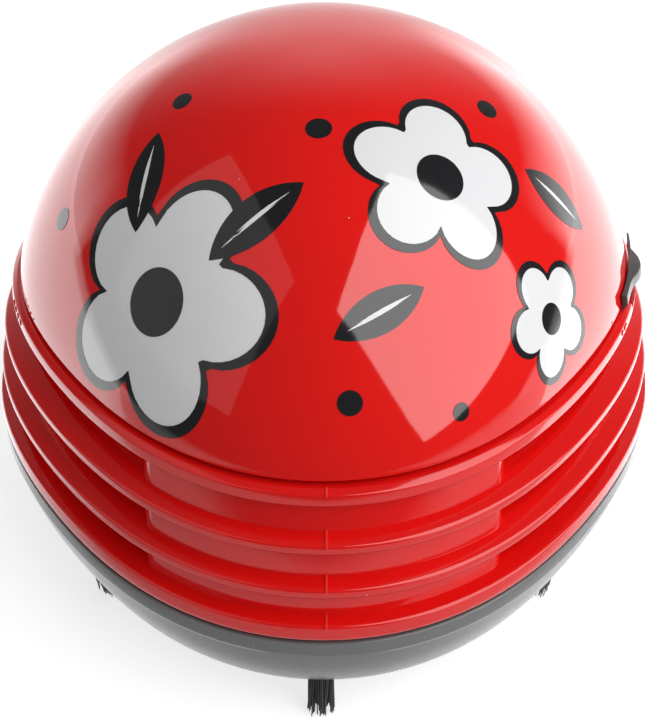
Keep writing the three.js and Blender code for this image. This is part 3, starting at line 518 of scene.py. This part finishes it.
printing = {
    "probe": 0.02, "reach": 30, "halvings": 36,  # how a point is laid on to the dome
    "thick": 0.06, "crease": 60, "underlap": 0.3,
    "petals": 5, "petalFoot": 0.60, "petalReach": 0.40, "petalRound": 0.75,
    "veinLength": 0.72, "veinHalf": 0.3,  # share of the leaf's length, and half the width
}
layers = {  # how far it stands off the dome, finish, rings, spokes
    "white": (0.03, "printWhite", 10, 96), "edge": (0.06, "printBlack", 4, 96),
    "heart": (0.07, "printBlack", 6, 64), "leaf": (0.04, "printBlack", 10, 96),
    "vein": (0.07, "printWhite", 3, 64), "dot": (0.05, "printBlack", 5, 48),
}


def offDome(spot):  # below zero inside the dome and above zero outside
    angle = math.atan2(spot.x, plan["shiftY"] - spot.y)
    across = math.hypot(spot.x, spot.y - plan["shiftY"]) / swell(angle) / dome["radius"]
    up = max(0.0, (spot.z - level["seam"]) / dome["height"])
    return across ** dome["crown"] + up ** dome["bulge"] - 1


def domeNormal(spot):
    steps = [Vector(axis) * printing["probe"] for axis in ((1, 0, 0), (0, 1, 0), (0, 0, 1))]
    return Vector([offDome(spot + step) - offDome(spot - step) for step in steps]).normalized()


def ontoDome(spot, inward):
    near, far = spot - inward * printing["reach"], spot + inward * printing["reach"]
    for _ in range(printing["halvings"]):
        middle = (near + far) / 2
        if offDome(middle) > 0:
            near = middle
        else:
            far = middle
    return near


def printPatch(name, layer, bearing, share, turn, outer, inner=None):
    lift, finish, rings, spokes = layers[layer]
    across, up = domeRow(share)
    middle = planPoint(across, bearing)
    middle.z = up
    outward = domeNormal(middle)
    sideways = Vector((0, 0, 1)).cross(outward).normalized()
    upright = outward.cross(sideways)
    along = sideways * math.cos(turn) + upright * math.sin(turn)
    above = upright * math.cos(turn) - sideways * math.sin(turn)
    rows = []
    for j in range(rings + 1):
        row = []
        for i in range(spokes):
            angle = math.tau * i / spokes
            low = inner(angle) if inner else 0
            reach = low + (outer(angle) - low) * j / rings
            flat = middle + along * (reach * math.cos(angle)) + above * (reach * math.sin(angle))
            hit = ontoDome(flat, -outward)
            row.append(tuple(hit + domeNormal(hit) * lift))
        rows.append(row)
    piece = loft(name, rows, capped=False)
    modify(piece, "SOLIDIFY", thickness=printing["thick"] * mm, offset=-1)
    smooth(piece, printing["crease"])
    dress(piece, finishes[finish], "dome_red", "dome")


def blossom(size):
    p = printing
    return lambda angle: size * (
        p["petalFoot"] + p["petalReach"] * abs(math.cos(p["petals"] / 2 * angle)) ** p["petalRound"])


def leaf(length, width):
    bow = (length ** 2 + width ** 2) / (2 * width)
    drop = bow - width
    return lambda angle: math.sqrt(bow ** 2 - (drop * math.cos(angle)) ** 2) - drop * abs(math.sin(angle))


def disc(size):
    return lambda angle: size


def grown(shape, edge):
    return lambda angle: shape(angle) + edge


blossoms = [  # name, bearing, share of the height, turn, radius, width of the outline, radius of the heart
    ("blossomLow", -33, 0.44, 0.25, 15.5, 1.5, 4.4),
    ("blossomHigh", 33, 0.79, 0.9, 11.5, 1.3, 3.3),
    ("blossomSmall", 47, 0.27, 0.5, 7.6, 1.0, 2.1),
]
leaves = [  # name, bearing, share of the height, turn, half length, half width
    ("leafA", -16, 0.74, 1.0, 7.6, 3.0), ("leafB", -52, 0.70, 2.2, 7.2, 2.9),
    ("leafC", 10, 0.52, 0.35, 6.6, 2.6), ("leafD", 66, 0.55, 1.9, 6.4, 2.6),
]
dots = [  # bearing, share of the height, radius
    (4, 0.27, 1.6), (22, 0.16, 1.2), (-2, 0.93, 1.7), (-72, 0.42, 1.6), (70, 0.84, 1.5), (-66, 0.88, 1.4),
]


def makePrint():
    p = printing
    for name, bearing, share, turn, size, edge, heart in blossoms:
        shape = blossom(size)
        printPatch(name + "White", "white", bearing, share, turn, grown(shape, p["underlap"]))
        printPatch(name + "Edge", "edge", bearing, share, turn, grown(shape, edge), shape)
        printPatch(name + "Heart", "heart", bearing, share, 0, disc(heart))
    for name, bearing, share, turn, length, width in leaves:
        printPatch(name, "leaf", bearing, share, turn, leaf(length, width))
        printPatch(name + "Rib", "vein", bearing, share, turn, leaf(length * p["veinLength"], p["veinHalf"]))
    for n, (bearing, share, size) in enumerate(dots):
        printPatch(f"dot{n + 1}", "dot", bearing, share, 0, disc(size))


makePrint()
print("print made")


# Collar: louvre ribs, windowed wall, blind panel, shoulder and neck

collar = {
    "lean": 4.9, "pitch": 6.4, "insets": (0, 0.16, 0.36, 0.7), "thick": 2.5, "edge": 1.4, "rimEdge": 2.4,
    "rimRise": 0.5, "slopeRun": 3.2, "slopeRise": 0.15, "lowStep": 0.02, "grooveRise": 0.25,
    "bore": 40.0, "wall": 1.5, "innerRim": 47.6, "plate": 18.7, "ledge": 1.6, "neckIn": 40.3, "neckOut": 41.7,
    "topStep": 0.2, "topDrop": 0.5, "shoulderInset": 1.05,
    # the roundings of the corners, from the rim up
    "rimRound": 0.1, "lowRound": 0.6, "edgeRound": 0.55, "crestRound": 1.5, "grooveRound": 0.5,
    "wallRound": 0.4, "topRound": 0.4, "shoulderRound": 0.6, "neckRounds": (0.2, 0.5, 0.3),
    # the windows: bearings in degrees, the rest in mm
    "windowFirst": 54, "windowPitch": 21, "windowBar": 2.4, "windowHeight": 2.9, "windowSill": 0.35,
    "windowReach": (-1.5, 3),
}


lastRib = len(collar["insets"]) - 1


def ribRadius(i):
    return plan["rim"] - collar["lean"] * collar["insets"][i]


def ribZ(i):
    return level["rim"] + collar["pitch"] * i


def collarProfile():
    c = collar
    out = c["bore"] + c["wall"]
    corners = [(c["innerRim"], level["rim"], c["rimRound"])]
    for i in range(lastRib):
        r, z = ribRadius(i), ribZ(i)
        edge = c["rimEdge"] if i == 0 else c["edge"]
        crest = z + (c["rimEdge"] + c["rimRise"] if i == 0 else c["thick"])
        if i:
            corners.append((out, z + c["grooveRise"], c["grooveRound"]))
        corners += [(r - c["lowStep"], z, c["lowRound"]), (r, z + edge + c["slopeRise"], c["edgeRound"])]
        corners += [(r - c["slopeRun"], crest, c["crestRound"]), (out, crest, c["wallRound"])]
    r, z, top = ribRadius(lastRib), level["topRib"], level["shoulder"]
    corners += [(out, z + c["grooveRise"], c["grooveRound"]), (r - c["lowStep"], z, c["topRound"])]
    corners += [(r - c["topStep"], top - c["topDrop"], c["topRound"])]
    corners += [(r - c["shoulderInset"], top, c["shoulderRound"])]
    foot, outer, inner = c["neckRounds"]
    corners += [(c["neckOut"], top, foot), (c["neckOut"], level["neckTop"], outer)]
    corners += [(c["neckIn"], level["neckTop"], inner), (c["neckIn"], z + c["ledge"])]
    corners += [(c["bore"] - c["ledge"], z + c["ledge"]), (c["bore"] - c["ledge"], z)]
    corners += [(c["bore"], z - c["ledge"]), (c["bore"], c["plate"]), (c["innerRim"], c["plate"])]
    return rounded(corners)


def leanRadius(z):  # between the ribs' edges
    at = min(max((z - level["rim"]) / collar["pitch"], 0), lastRib)
    i = min(int(at), lastRib - 1)
    return ribRadius(i) + (ribRadius(i + 1) - ribRadius(i)) * (at - i)


# The blind panel in front follows the outline in plan between two straight sides, its front corners rounded
panel = {
    "half": 23.3, "inset": 1.75, "corner": 1.2, "turns": (18, 36, 54, 72), "columns": 40, "backColumns": 20,
    "inward": 0.5, "footRise": 0.3, "topRise": 1,
}


def frontY(x, reach, widest=60.0, halvings=30):  # where the outline crosses x in front
    low, high = 0.0, widest
    for _ in range(halvings):
        middle = (low + high) / 2
        at = planPoint(reach, middle)
        low, high = (middle, high) if at.x < abs(x) else (low, middle)
    return planPoint(reach, low).y


def panelRow(z):
    half, corner = panel["half"], panel["corner"]
    radius = leanRadius(z) - panel["inset"]
    inner = collar["neckIn"] + panel["inward"]
    row = []
    for i in range(panel["columns"] + 1):
        x = -half + 2 * half * i / panel["columns"]
        near = half - abs(x)
        fall = corner - math.sqrt(max(0, corner ** 2 - (corner - near) ** 2)) if near < corner else 0
        row.append((x, frontY(x, radius) + fall, z))
    row[0] = (-half, frontY(half, radius) + corner, z)
    row[-1] = (half, row[0][1], z)
    turned = []
    for degrees in panel["turns"]:
        angle = math.radians(degrees)
        x = half - corner * (1 - math.cos(angle))
        turned.append((x, frontY(x, radius) + corner * (1 - math.sin(angle)), z))
    row[1:1] = [(-x, y, z) for x, y, z in turned]
    row[-1:-1] = turned[::-1]
    across = [half * (1 - 2 * i / panel["backColumns"]) for i in range(panel["backColumns"] + 1)]
    return row + [(x, frontY(x, inner), z) for x in across]


switchSlot = {"bearing": 86, "low": (-9.2, -5.3), "high": (2.1, 2.3), "drop": 1.4, "rise": 0.3}


def makeCollar():
    c = collar
    piece = lathe("collarShell", collarProfile())
    heights = (c["plate"] + panel["footRise"], ribZ(1), ribZ(2), level["topRib"] + panel["topRise"])
    combine(piece, loft("panel", [panelRow(z) for z in heights]), "UNION")
    holes = []
    near, far = c["windowReach"]
    for k in range(int((360 - 2 * c["windowFirst"]) / c["windowPitch"]) + 1):
        bearing = c["windowFirst"] + k * c["windowPitch"]
        ends = [planPoint(c["bore"], bearing + side * c["windowPitch"] / 2) for side in (-1, 1)]
        half = ((ends[1] - ends[0]).length - c["windowBar"]) / 2
        place = planFrame(c["bore"], bearing)
        for i in range(1, lastRib + 1):
            top = ribZ(i) - c["windowSill"]
            holes.append(((near, -half, top - c["windowHeight"]), (far, half, top), place))
    s = switchSlot
    low, high = (*s["low"], level["shoulder"] - s["drop"]), (*s["high"], level["shoulder"] + s["rise"])
    holes.append((low, high, planFrame(dome["radius"], s["bearing"])))
    combine(piece, blocks("windows", holes))
    smooth(piece)
    dress(piece, finishes["collarRed"], "collar_red", "housing", "collar")


# The mould's parting line across each rib, and plain raised marks at both sides of the top rib, all in the
# collar's own plastic but coloured a lighter red as painted highlight
marks = {
    "tickX": 0.37, "tickHalf": 0.13, "tickSink": 0.2, "tickOut": 0.12,
    "tickReach": 3.8, "tickHeights": (0.7, 3.2),
    "low": 37.0, "high": 37.8, "sink": 0.6, "out": 0.06, "inset": 0.05,
    # bearing and half width of each mark
    "bars": ((70.5, 0.15), (72.6, 0.4), (-74, 0.2), (-76.2, 0.2), (-78.4, 0.2), (-80.6, 0.2)),
}


def makeMarks():
    m = marks
    pieces = []
    profile = collarProfile()
    section = ((-1, -m["tickSink"]), (1, -m["tickSink"]), (1, m["tickOut"]), (-1, m["tickOut"]))
    first, last = m["tickHeights"]
    for i in range(lastRib + 1):
        r, z = ribRadius(i), ribZ(i) if i < lastRib else level["topRib"]
        rows = []
        for across, up in profile:
            if across > r - m["tickReach"] and z + first < up < z + last:
                rows.append([
                    (m["tickX"] + side * m["tickHalf"], planPoint(across + out, 0).y, up + max(out, 0))
                    for side, out in section])
        pieces.append(loft("tick", rows))
    for bearing, half in m["bars"]:
        place = planFrame(ribRadius(lastRib) - m["inset"], bearing)
        pieces.append(blocks("mark", [((-m["sink"], -half, m["low"]), (m["out"], half, m["high"]), place)]))
    piece = joined("collarMarks", pieces)
    smooth(piece)
    # the marks take the lighter red, a painted highlight on the collar's plastic
    dress(piece, finishes["paintedHighlightRed"], "collar_red", "housing")


makeCollar()
makeMarks()
print("collar made")


# Base: bowl, top band, cell bays and seats

base = {
    "band": 49.9, "bandHeight": 2.4, "bandStep": 0.3, "tuckIn": 4.4, "cornerTuck": 0.014, "wall": 2.0,
    "floor": 2.2, "floorInset": 1, "lipOut": 47.3, "lipWall": 1.2, "lipRise": 1.9,
    "curve": ((0, 0), (0.32, 0.09), (0.56, 0.24), (0.82, 0.58), (1, 1)), "curveSteps": 5,
    "bandRound": 0.15, "topRound": 0.3, "lipRound": 0.2,
    "bayHalf": 7.6, "bayWall": 1.3, "bayX": 19.1, "bayY": 3.2, "bayLength": 56.8, "cellZ": 15.2,
    "seatRise": 0.3, "doorHalfX": 8.1, "doorHalfY": 28.9, "doorThick": 1.6, "gap": 0.3, "overrun": 1,
    "screwCircle": 41, "screwBearings": (30, 152, 208, 330), "screwSeat": 7.85, "screwWall": 1.6,
    "screwBoss": 3.9, "screwHole": 2.7, "bossLow": 7.95, "holeLow": 4,
    "inlet": (0, -30.2, 7.7, 4, 9),  # x, y, radius, low, high
    "grooveGap": 0.3, "grooveDepth": 1.2, "plane": 0.9995,
}


def curveThrough(points, steps):
    points = [Vector(p) for p in points]
    made = []
    for i in range(len(points) - 1):
        a, b = points[max(i - 1, 0)], points[i]
        c, d = points[i + 1], points[min(i + 2, len(points) - 1)]
        for k in range(steps):
            t = k / steps
            bend, turn = (2 * a - 5 * b + 4 * c - d) * t ** 2, (3 * b - a - 3 * c + d) * t ** 3
            made.append(tuple(0.5 * (2 * b + (c - a) * t + bend + turn)))
    return made + [tuple(points[-1])]


def baseProfile():
    b = base
    stand, top = level["stand"], level["baseTop"]
    bandZ = top - b["bandHeight"]
    flat, bowl = b["band"] - b["tuckIn"], b["band"] - b["bandStep"]
    bends = [(flat + (bowl - flat) * x, stand + (bandZ - stand) * y) for x, y in b["curve"]]
    side = curveThrough(bends, b["curveSteps"])
    inner = b["lipOut"] - b["lipWall"]
    wide = side[-1 - b["curveSteps"]]
    corners = [(0, stand)] + side
    corners += [(b["band"], bandZ + b["bandStep"], b["bandRound"]), (b["band"], top, b["topRound"])]
    corners += [(b["lipOut"], top), (b["lipOut"], top + b["lipRise"], b["lipRound"])]
    corners += [(inner, top + b["lipRise"], b["lipRound"]), (inner, top - b["wall"])]
    corners += [(wide[0] - b["wall"], wide[1])]
    corners += [(flat - b["floorInset"], stand + b["floor"]), (0, stand + b["floor"])]
    return rounded(corners, steps=3)


def archRow(x, half, low, middle, y, steps=20):
    turns = [math.pi * k / steps for k in range(steps + 1)]
    arch = [(x + half * math.cos(turn), y, middle + half * math.sin(turn)) for turn in turns]
    return [(x + half, y, low)] + arch + [(x - half, y, low)]


def tuckCorners(piece):  # the bowl tucks in a little more towards the four corners
    bandZ, centreY = level["baseTop"] - base["bandHeight"], plan["shiftY"] * mm
    for vertex in piece.data.vertices:
        low = (bandZ - vertex.co.z / mm) / (bandZ - level["stand"])
        angle = math.atan2(vertex.co.x, centreY - vertex.co.y)
        if low > 0:
            share = 1 - base["cornerTuck"] * low * math.sin(2 * angle) ** 2
            vertex.co.x *= share
            vertex.co.y = centreY + (vertex.co.y - centreY) * share


def makeBase():
    b = base
    stand = level["stand"]
    piece = lathe("baseShell", baseProfile())
    tuckCorners(piece)
    seats, tools = [], []
    front, rear = b["bayY"] - b["bayLength"] / 2, b["bayY"] + b["bayLength"] / 2
    wideX, wideY = b["doorHalfX"] + b["gap"], b["doorHalfY"] + b["gap"]
    outer, ends = b["bayHalf"] + b["bayWall"], (front - b["bayWall"], rear + b["bayWall"])
    for x in (-b["bayX"], b["bayX"]):
        seats.append(loft("seat", [archRow(x, outer, stand + b["seatRise"], b["cellZ"], y) for y in ends]))
        tools.append(loft("bay", [
            archRow(x, b["bayHalf"], stand - b["overrun"], b["cellZ"], y) for y in (front, rear)]))
        tools.append(blocks("doorRoom", [(
            (x - wideX, b["bayY"] - wideY, stand - 2 * b["overrun"]),
            (x + wideX, b["bayY"] + wideY, stand + b["doorThick"] + b["gap"]), None)]))
    for seat in seats:
        combine(piece, seat, "UNION")
    spots = [planPoint(b["screwCircle"], bearing) for bearing in b["screwBearings"]]
    boss = (b["screwBoss"], b["bossLow"], b["screwSeat"] + b["screwWall"])
    hole = (b["screwHole"], b["holeLow"], b["screwSeat"])
    combine(piece, rods("screwSeats", [(spot.x, spot.y, *boss) for spot in spots]), "UNION")
    for tool in tools:
        combine(piece, tool)
    combine(piece, rods("screwHoles", [(spot.x, spot.y, *hole) for spot in spots], sides=40))
    combine(piece, rods("inletHole", [b["inlet"]], sides=48))
    low, high = stand - b["overrun"], stand + b["grooveDepth"]
    for bearings in brush["strips"].values():
        combine(piece, stripSolid("groove", bearings, b["grooveGap"], low, high))
    smooth(piece)
    for face in piece.data.polygons:  # the underside stays plane up to its rim
        if abs(face.normal.z) > b["plane"]:
            face.use_smooth = False
    dress(piece, finishes["baseGrey"], "base_grey", "housing", "base_shell")


brush = {
    "radius": 44.0, "width": 2.4, "thick": 0.9, "end": 3.36, "stepDegrees": 2.5,
    "strips": {  # first and last bearing of each carrier strip
        "brush_front": (0, 0), "brush_right": (48, 136), "brush_rear": (180, 180), "brush_left": (224, 312),
    },
}


def stripSolid(name, bearings, margin, low, high):
    half = brush["width"] / 2 + margin
    near, far = brush["radius"] - half, brush["radius"] + half
    ends = brush["end"] + math.degrees(margin / brush["radius"])
    first, last = bearings[0] - ends, bearings[1] + ends
    steps = max(4, round((last - first) / brush["stepDegrees"]))
    return lathe(name, [(near, low), (far, low), (far, high), (near, high)], steps, last - first, first)


makeBase()
print("base made")


# Bristle tufts

tuft = {
    "strands": 90, "along": 1.68, "through": 1.05, "splay": 1.12, "radius": 0.115, "taper": 0.25,
    "leans": (2.5, -0.8),  # of a tuft on its own and of a tuft in a row
    "sink": 0.5, "ragged": 1.7, "clumps": 6, "clumping": 0.4, "turn": 137.5, "bendAt": 0.15,
    "drift": (0.14, 0.16), "bow": ((-0.1, 0.16), (-0.1, 0.1)), "crease": 60, "seed": 7,
    "bearings": {
        "brush_front": (-0.5,), "brush_right": (50, 92, 136),
        "brush_rear": (180,), "brush_left": (224, 268, 310),
    },
}


def strandMesh():
    deselectAll()
    bpy.ops.mesh.primitive_cylinder_add(vertices=5, radius=1, depth=1, location=(0, 0, 0))
    strand = bpy.context.object

    def sections():
        bpy.ops.mesh.bisect(plane_co=(0, 0, tuft["bendAt"]), plane_no=(0, 0, 1))
        bpy.ops.mesh.select_all(action="SELECT")
        bpy.ops.mesh.bisect(plane_co=(0, 0, -tuft["bendAt"]), plane_no=(0, 0, 1))

    inEdit(strand, sections)
    return strand


def makeTuft(place, lean, model, chance):
    t = tuft
    strands = []
    top = level["stand"] + t["sink"]
    lowest = chance.randrange(t["strands"])
    half = (t["clumps"] - 1) / 2
    clumps = []
    for k in range(t["clumps"]):
        clumps.append(Vector((chance.uniform(-1, 1) * t["through"], (k / half - 1) * t["along"], 0)))
    for n in range(t["strands"]):
        share = math.sqrt((n + 0.5) / t["strands"])
        angle = math.radians(t["turn"]) * n
        root = Vector((t["through"] * share * math.cos(angle), t["along"] * share * math.sin(angle), 0))
        drift = Vector([chance.uniform(-most, most) for most in t["drift"]] + [0])
        nearest = min(clumps, key=lambda clump: (clump - root).length)
        tip = root.lerp(nearest, t["clumping"]) * t["splay"] + Vector((lean, 0, 0)) + drift
        end = 0.0 if n == lowest else chance.uniform(0, t["ragged"]) * share
        bow = Vector([chance.uniform(*ends) for ends in t["bow"]] + [0])
        strand = model.copy()
        strand.data = model.data.copy()
        bpy.context.collection.objects.link(strand)
        for vertex in strand.data.vertices:
            down = 0.5 - vertex.co.z  # 0 at the root and 1 at the tip
            middle = root.lerp(tip, down) + bow * math.sin(math.pi * down)
            thin = t["radius"] * (1 - t["taper"] * down)
            spot = place @ (middle + Vector((vertex.co.x, vertex.co.y, 0)) * thin)
            spot.z = top + (end - top) * down
            vertex.co = spot * mm
        strands.append(strand)
    return strands


def makeBrushes():
    model = strandMesh()
    chance = random.Random(tuft["seed"])
    for name, bearings in tuft["bearings"].items():
        pieces = [stripSolid(name, brush["strips"][name], 0, level["stand"], level["stand"] + brush["thick"])]
        lean = tuft["leans"][1 if len(bearings) > 1 else 0]
        for bearing in bearings:
            pieces += makeTuft(planFrame(brush["radius"], bearing), lean, model, chance)
        piece = joined(name, pieces)
        smooth(piece, tuft["crease"])
        dress(piece, finishes["bristleBlack"], "bristle_black", "housing", name)
        piece.name = name + "Tufts"
    bpy.data.objects.remove(model, do_unlink=True)


makeBrushes()
print("bristles made")


# Slide knob on the right

knob = {
    "bearing": 86, "gap": 0.13, "travel": 3, "thin": 0.28, "softEdge": 0.1, "sharpest": 50,
    # bearing and how far the top's outer edge stands off the dome's edge, from the rear tip to the front end
    "edge": ((97.6, 0.0), (95.2, 0.1), (93, 0.36), (90.9, 1.05), (89.1, 1.66), (86.8, 2.0), (84.7, 1.84),
             (83.1, 1.42), (81.2, 1.0), (79.2, 0.88), (77.2, 0.9), (75.4, 0.96)),
    # height, share of the thickness, lean towards the dome
    "levels": ((38.75, 0.4, 0.0), (39.6, 1.0, 0.0), (40.7, 1.0, 0.16), (41.0, 0.95, 0.22)),
    # low and high corners of the stem that goes in over the shoulder and down to the toggle
    "stem": (((0.2, -2, 37.3), (0.85, 2, 39.4)), ((-8.4, -2, 37.3), (0.85, 2, 38.4)),
             ((-8.9, -2, 32.4), (-7.3, 2, 38.4))),
}


def makeKnob():
    k = knob
    place = planFrame(dome["radius"], k["bearing"])
    back = place.inverted()
    travel = math.degrees(k["travel"] / dome["radius"])
    inner, outer = [], []
    for bearing, out in curveThrough(k["edge"], steps=4):
        passed = [back @ planPoint(dome["radius"], bearing - travel * share) for share in (0, 0.5, 1)]
        near = max(at.x for at in passed) + k["gap"]
        far = back @ planPoint(dome["radius"] + out, bearing)
        inner.append(Vector((near, passed[0].y, 0)))
        outer.append(Vector((max(near + k["thin"], far.x), far.y, 0)))
    rows = []
    for z, share, lean in k["levels"]:
        outline = inner + [a.lerp(b, share) for a, b in zip(inner, outer)][::-1]
        rows.append([tuple(place @ Vector((p.x - lean, p.y, z))) for p in outline])
    piece = loft("slideKnob", rows)
    sharpest = math.radians(k["sharpest"])
    modify(piece, "BEVEL", width=k["softEdge"] * mm, segments=2, limit_method="ANGLE", angle_limit=sharpest)
    piece = joined("slideKnob", [piece, blocks("stem", [(low, high, place) for low, high in k["stem"]])])
    smooth(piece)
    dress(piece, finishes["knobGrey"], "knob_grey", "knob", "power_knob")


makeKnob()
print("knob made")


# Floor, world and lamps

floor = {  # in metres, and what ends in sharp is 1 over the width of a soft edge
    "size": 6, "color": rgb(0.62, 0.62, 0.62), "rough": 0.9,
    "near": 0.67, "far": 0.33, "farFrom": 0.12, "farSharp": 1.6,  # as the camera sees it, white further out
    "below": 0.8, "belowReach": 0.062, "belowSharp": 80.0,  # the pale light from below on the bowl
    "gloss": 0.08,  # as the gloss sees it
    # where gloss looks through the floor to the world, ahead of the object, behind it and beside it
    "aheadFrom": 0.104, "aheadWiden": 0.4, "aheadSharp": 36.0, "behindFrom": 0.015, "behindSharp": 22.0,
    "besideSharp": 40.0, "besideFrom": 2.0, "besideAlong": 30.0, "besideBack": 1.5,
}


def makeFloor():
    f = floor
    deselectAll()
    bpy.ops.mesh.primitive_plane_add(size=f["size"])
    piece = bpy.context.object
    piece.name = "floor"
    made = Finish("floorWhite")
    made.put("Base Color", f["color"])
    made.put("Roughness", f["rough"])
    seen, mirrored = made.ray("Is Camera Ray"), made.ray("Is Glossy Ray")
    reach = made.node("ShaderNodeVectorMath", {"operation": "LENGTH"}, {0: made.place()}, 1)
    close = ((f["belowReach"] - reach) * f["belowSharp"]).clamp()
    far = ((reach - f["farFrom"]) * f["farSharp"]).clamp()
    shown = seen * (far * f["far"] + f["near"])
    glow = made.node("ShaderNodeEmission", {}, {
        "Color": rgb(1, 1, 1), "Strength": shown + (1 - seen) * close * f["below"] + mirrored * f["gloss"]})
    both = made.node("ShaderNodeAddShader", {}, {0: Sock(made, made.shader.outputs[0]), 1: glow})
    under = made.node("ShaderNodeNewGeometry", {}, {}, "Backfacing") * seen
    across, along, _ = made.split(made.place())
    aside = (across * across) ** 0.5
    beside = (aside * f["besideSharp"] - f["besideFrom"]).clamp()
    beside = beside * (along * f["besideAlong"] + f["besideBack"]).clamp()
    ahead = ((reach - aside * f["aheadWiden"] - f["aheadFrom"]) * f["aheadSharp"]).clamp()
    behind = (along + f["behindFrom"]).clamp() * f["behindSharp"]
    hidden = (under + mirrored * (ahead + behind + beside).clamp()).clamp()
    clear = made.node("ShaderNodeBsdfTransparent")
    made.surface(made.node("ShaderNodeMixShader", {}, {0: hidden, 1: both, 2: clear}))
    piece.data.materials.append(made.owner)


# Directions as (azimuth from the front, elevation) in degrees, corners in turn round each softbox
studio = {
    "skyFrom": 0.5, "skyGain": 2.22, "skyPower": 2.2,  # the world seen in gloss, brighter towards the rear
    "rearLight": 1.0, "frontLight": 0.08,
    "slant": 1.9, "rearEdge": 0.4, "edgeSharp": 18.0,  # the edge of the pale rear, slanting below the horizon
    "fill": 0.18, "rearFill": 0.46, "fillGain": 0.7,  # the world's own light on the object
    "lampLift": 0.05,  # the lamps face a point this high, in metres
    "softboxes": {
        # name: corners, distance (m), radiance
        "keyRight": (((14, 47), (113, 66), (95, 2), (40, -5)), 1.0, 2.3),
        "fillLeft": (((-24, 55), (-120, 51), (-98, 4), (-42, 4)), 1.0, 0.3),
    },
    "glowCards": {  # name: corners, distance (m), radiance, seen only in the gloss
        "glowRight": (((98, 24), (172, 24), (172, -52), (98, -52)), 1.2, 1.8),
        "glowLeft": (((-172, 24), (-90, 24), (-90, -52), (-172, -52)), 1.2, 1.1),
    },
}
card = {
    "softer": 60.0, "softest": 10.0,  # how fast and how far its edge goes soft above the horizon
    "peak": 1.6, "rise": 6.0, "fall": 4.4, "foot": 1.0,  # brightest a little above the horizon
    "sideGain": 8.0, "sideFrom": 0.15,  # dark straight behind the object
}


def paleRear(y, z):
    return ((y - z * studio["slant"] - studio["rearEdge"]) * studio["edgeSharp"] + 0.5).clamp()


def makeWorld():
    s = studio
    made = Finish("studio", world=True)
    bpy.context.scene.world = made.owner
    camera, glossy = made.ray("Is Camera Ray"), made.ray("Is Glossy Ray")
    _, y, z = made.split(made.node("ShaderNodeTexCoord", {}, {}, "Generated"))
    above = ((y - s["skyFrom"]) * s["skyGain"]).clamp() ** s["skyPower"]
    rear = (z > 0.0) * above + (z < 0.0) * paleRear(y, z)
    mirrored = rear * (s["rearLight"] - s["frontLight"]) + s["frontLight"]
    plain = ((y + z) * s["fillGain"]).clamp() ** 2 * s["rearFill"] + s["fill"]
    made.put("Color", rgb(1, 1, 1))
    made.put("Strength", camera + (1 - camera) * (glossy * mirrored + (1 - glossy) * plain))


def direction(azimuth, elevation):
    turn, rise = math.radians(azimuth), math.radians(elevation)
    return Vector((math.sin(turn) * math.cos(rise), -math.cos(turn) * math.cos(rise), math.sin(rise)))


def makeCard(name, corners, distance, radiance):  # a glowing card far behind, brightest near the horizon
    c = card
    spots = [direction(*corner) for corner in corners]
    middle = sum(spots, Vector()).normalized()
    deselectAll()
    bpy.ops.mesh.primitive_plane_add(size=1)
    piece = bpy.context.object
    piece.name = name
    for vertex, k in zip(piece.data.vertices, (0, 1, 3, 2)):  # a plane's corners stand in rows
        vertex.co = spots[k] * (distance / spots[k].dot(middle))
    made = Finish(name)
    x, y, z = made.split(made.node("ShaderNodeVectorMath", {"operation": "NORMALIZE"}, {0: made.place()}))
    sharp = studio["edgeSharp"] - (z * c["softer"]).clamp(0.0, c["softest"])
    fall = c["peak"] - z * c["fall"]
    peak = fall - (fall - (z * c["rise"] + c["foot"])).clamp()  # the lower of the rise and the fall
    above = ((y - studio["rearEdge"]) * sharp + 0.5).clamp() * peak.clamp(0.0, c["peak"])
    sideways = (x * x * c["sideGain"] - c["sideFrom"]).clamp()
    glow = made.node("ShaderNodeEmission", {}, {
        "Strength": ((z > 0.0) * above + (z < 0.0) * paleRear(y, z)) * sideways * radiance})
    made.surface(made.node("ShaderNodeAddShader", {}, {0: glow, 1: made.node("ShaderNodeBsdfTransparent")}))
    piece.data.materials.append(made.owner)
    piece.visible_camera = piece.visible_diffuse = piece.visible_shadow = False


def softbox(name, corners, distance, radiance):  # the rectangle nearest to the corners, facing the dome
    spots = [direction(*corner) for corner in corners]
    middle = sum(spots, Vector()).normalized()
    flat = [spot * (distance / spot.dot(middle)) for spot in spots]
    wide, tall = flat[0] - flat[1] + flat[3] - flat[2], flat[0] - flat[3] + flat[1] - flat[2]
    across = wide.normalized()
    above = (tall - across * tall.dot(across)).normalized()
    if across.cross(above).dot(middle) < 0:
        across = -across
    width, height = abs(wide.dot(across)) / 2, abs(tall.dot(above)) / 2
    deselectAll()
    bpy.ops.object.light_add(type="AREA")
    lamp = bpy.context.object
    lamp.name = name
    lamp.data.shape = "RECTANGLE"
    lamp.data.size, lamp.data.size_y = width, height
    lamp.data.energy = radiance * width * height * math.pi
    turned = Matrix((across, above, middle)).transposed().to_4x4()
    turned.translation = sum(flat, Vector()) / 4 + Vector((0, 0, studio["lampLift"]))
    lamp.matrix_world = turned
    lamp.visible_camera = False
    print(name, "size", round(width, 2), round(height, 2), "at", [round(c, 2) for c in turned.translation])


makeFloor()
makeWorld()
for name, values in studio["softboxes"].items():
    softbox(name, *values)
for name, values in studio["glowCards"].items():
    makeCard(name, *values)
print("studio made")

bpy.context.scene.view_settings.view_transform = "Standard"
print("done")
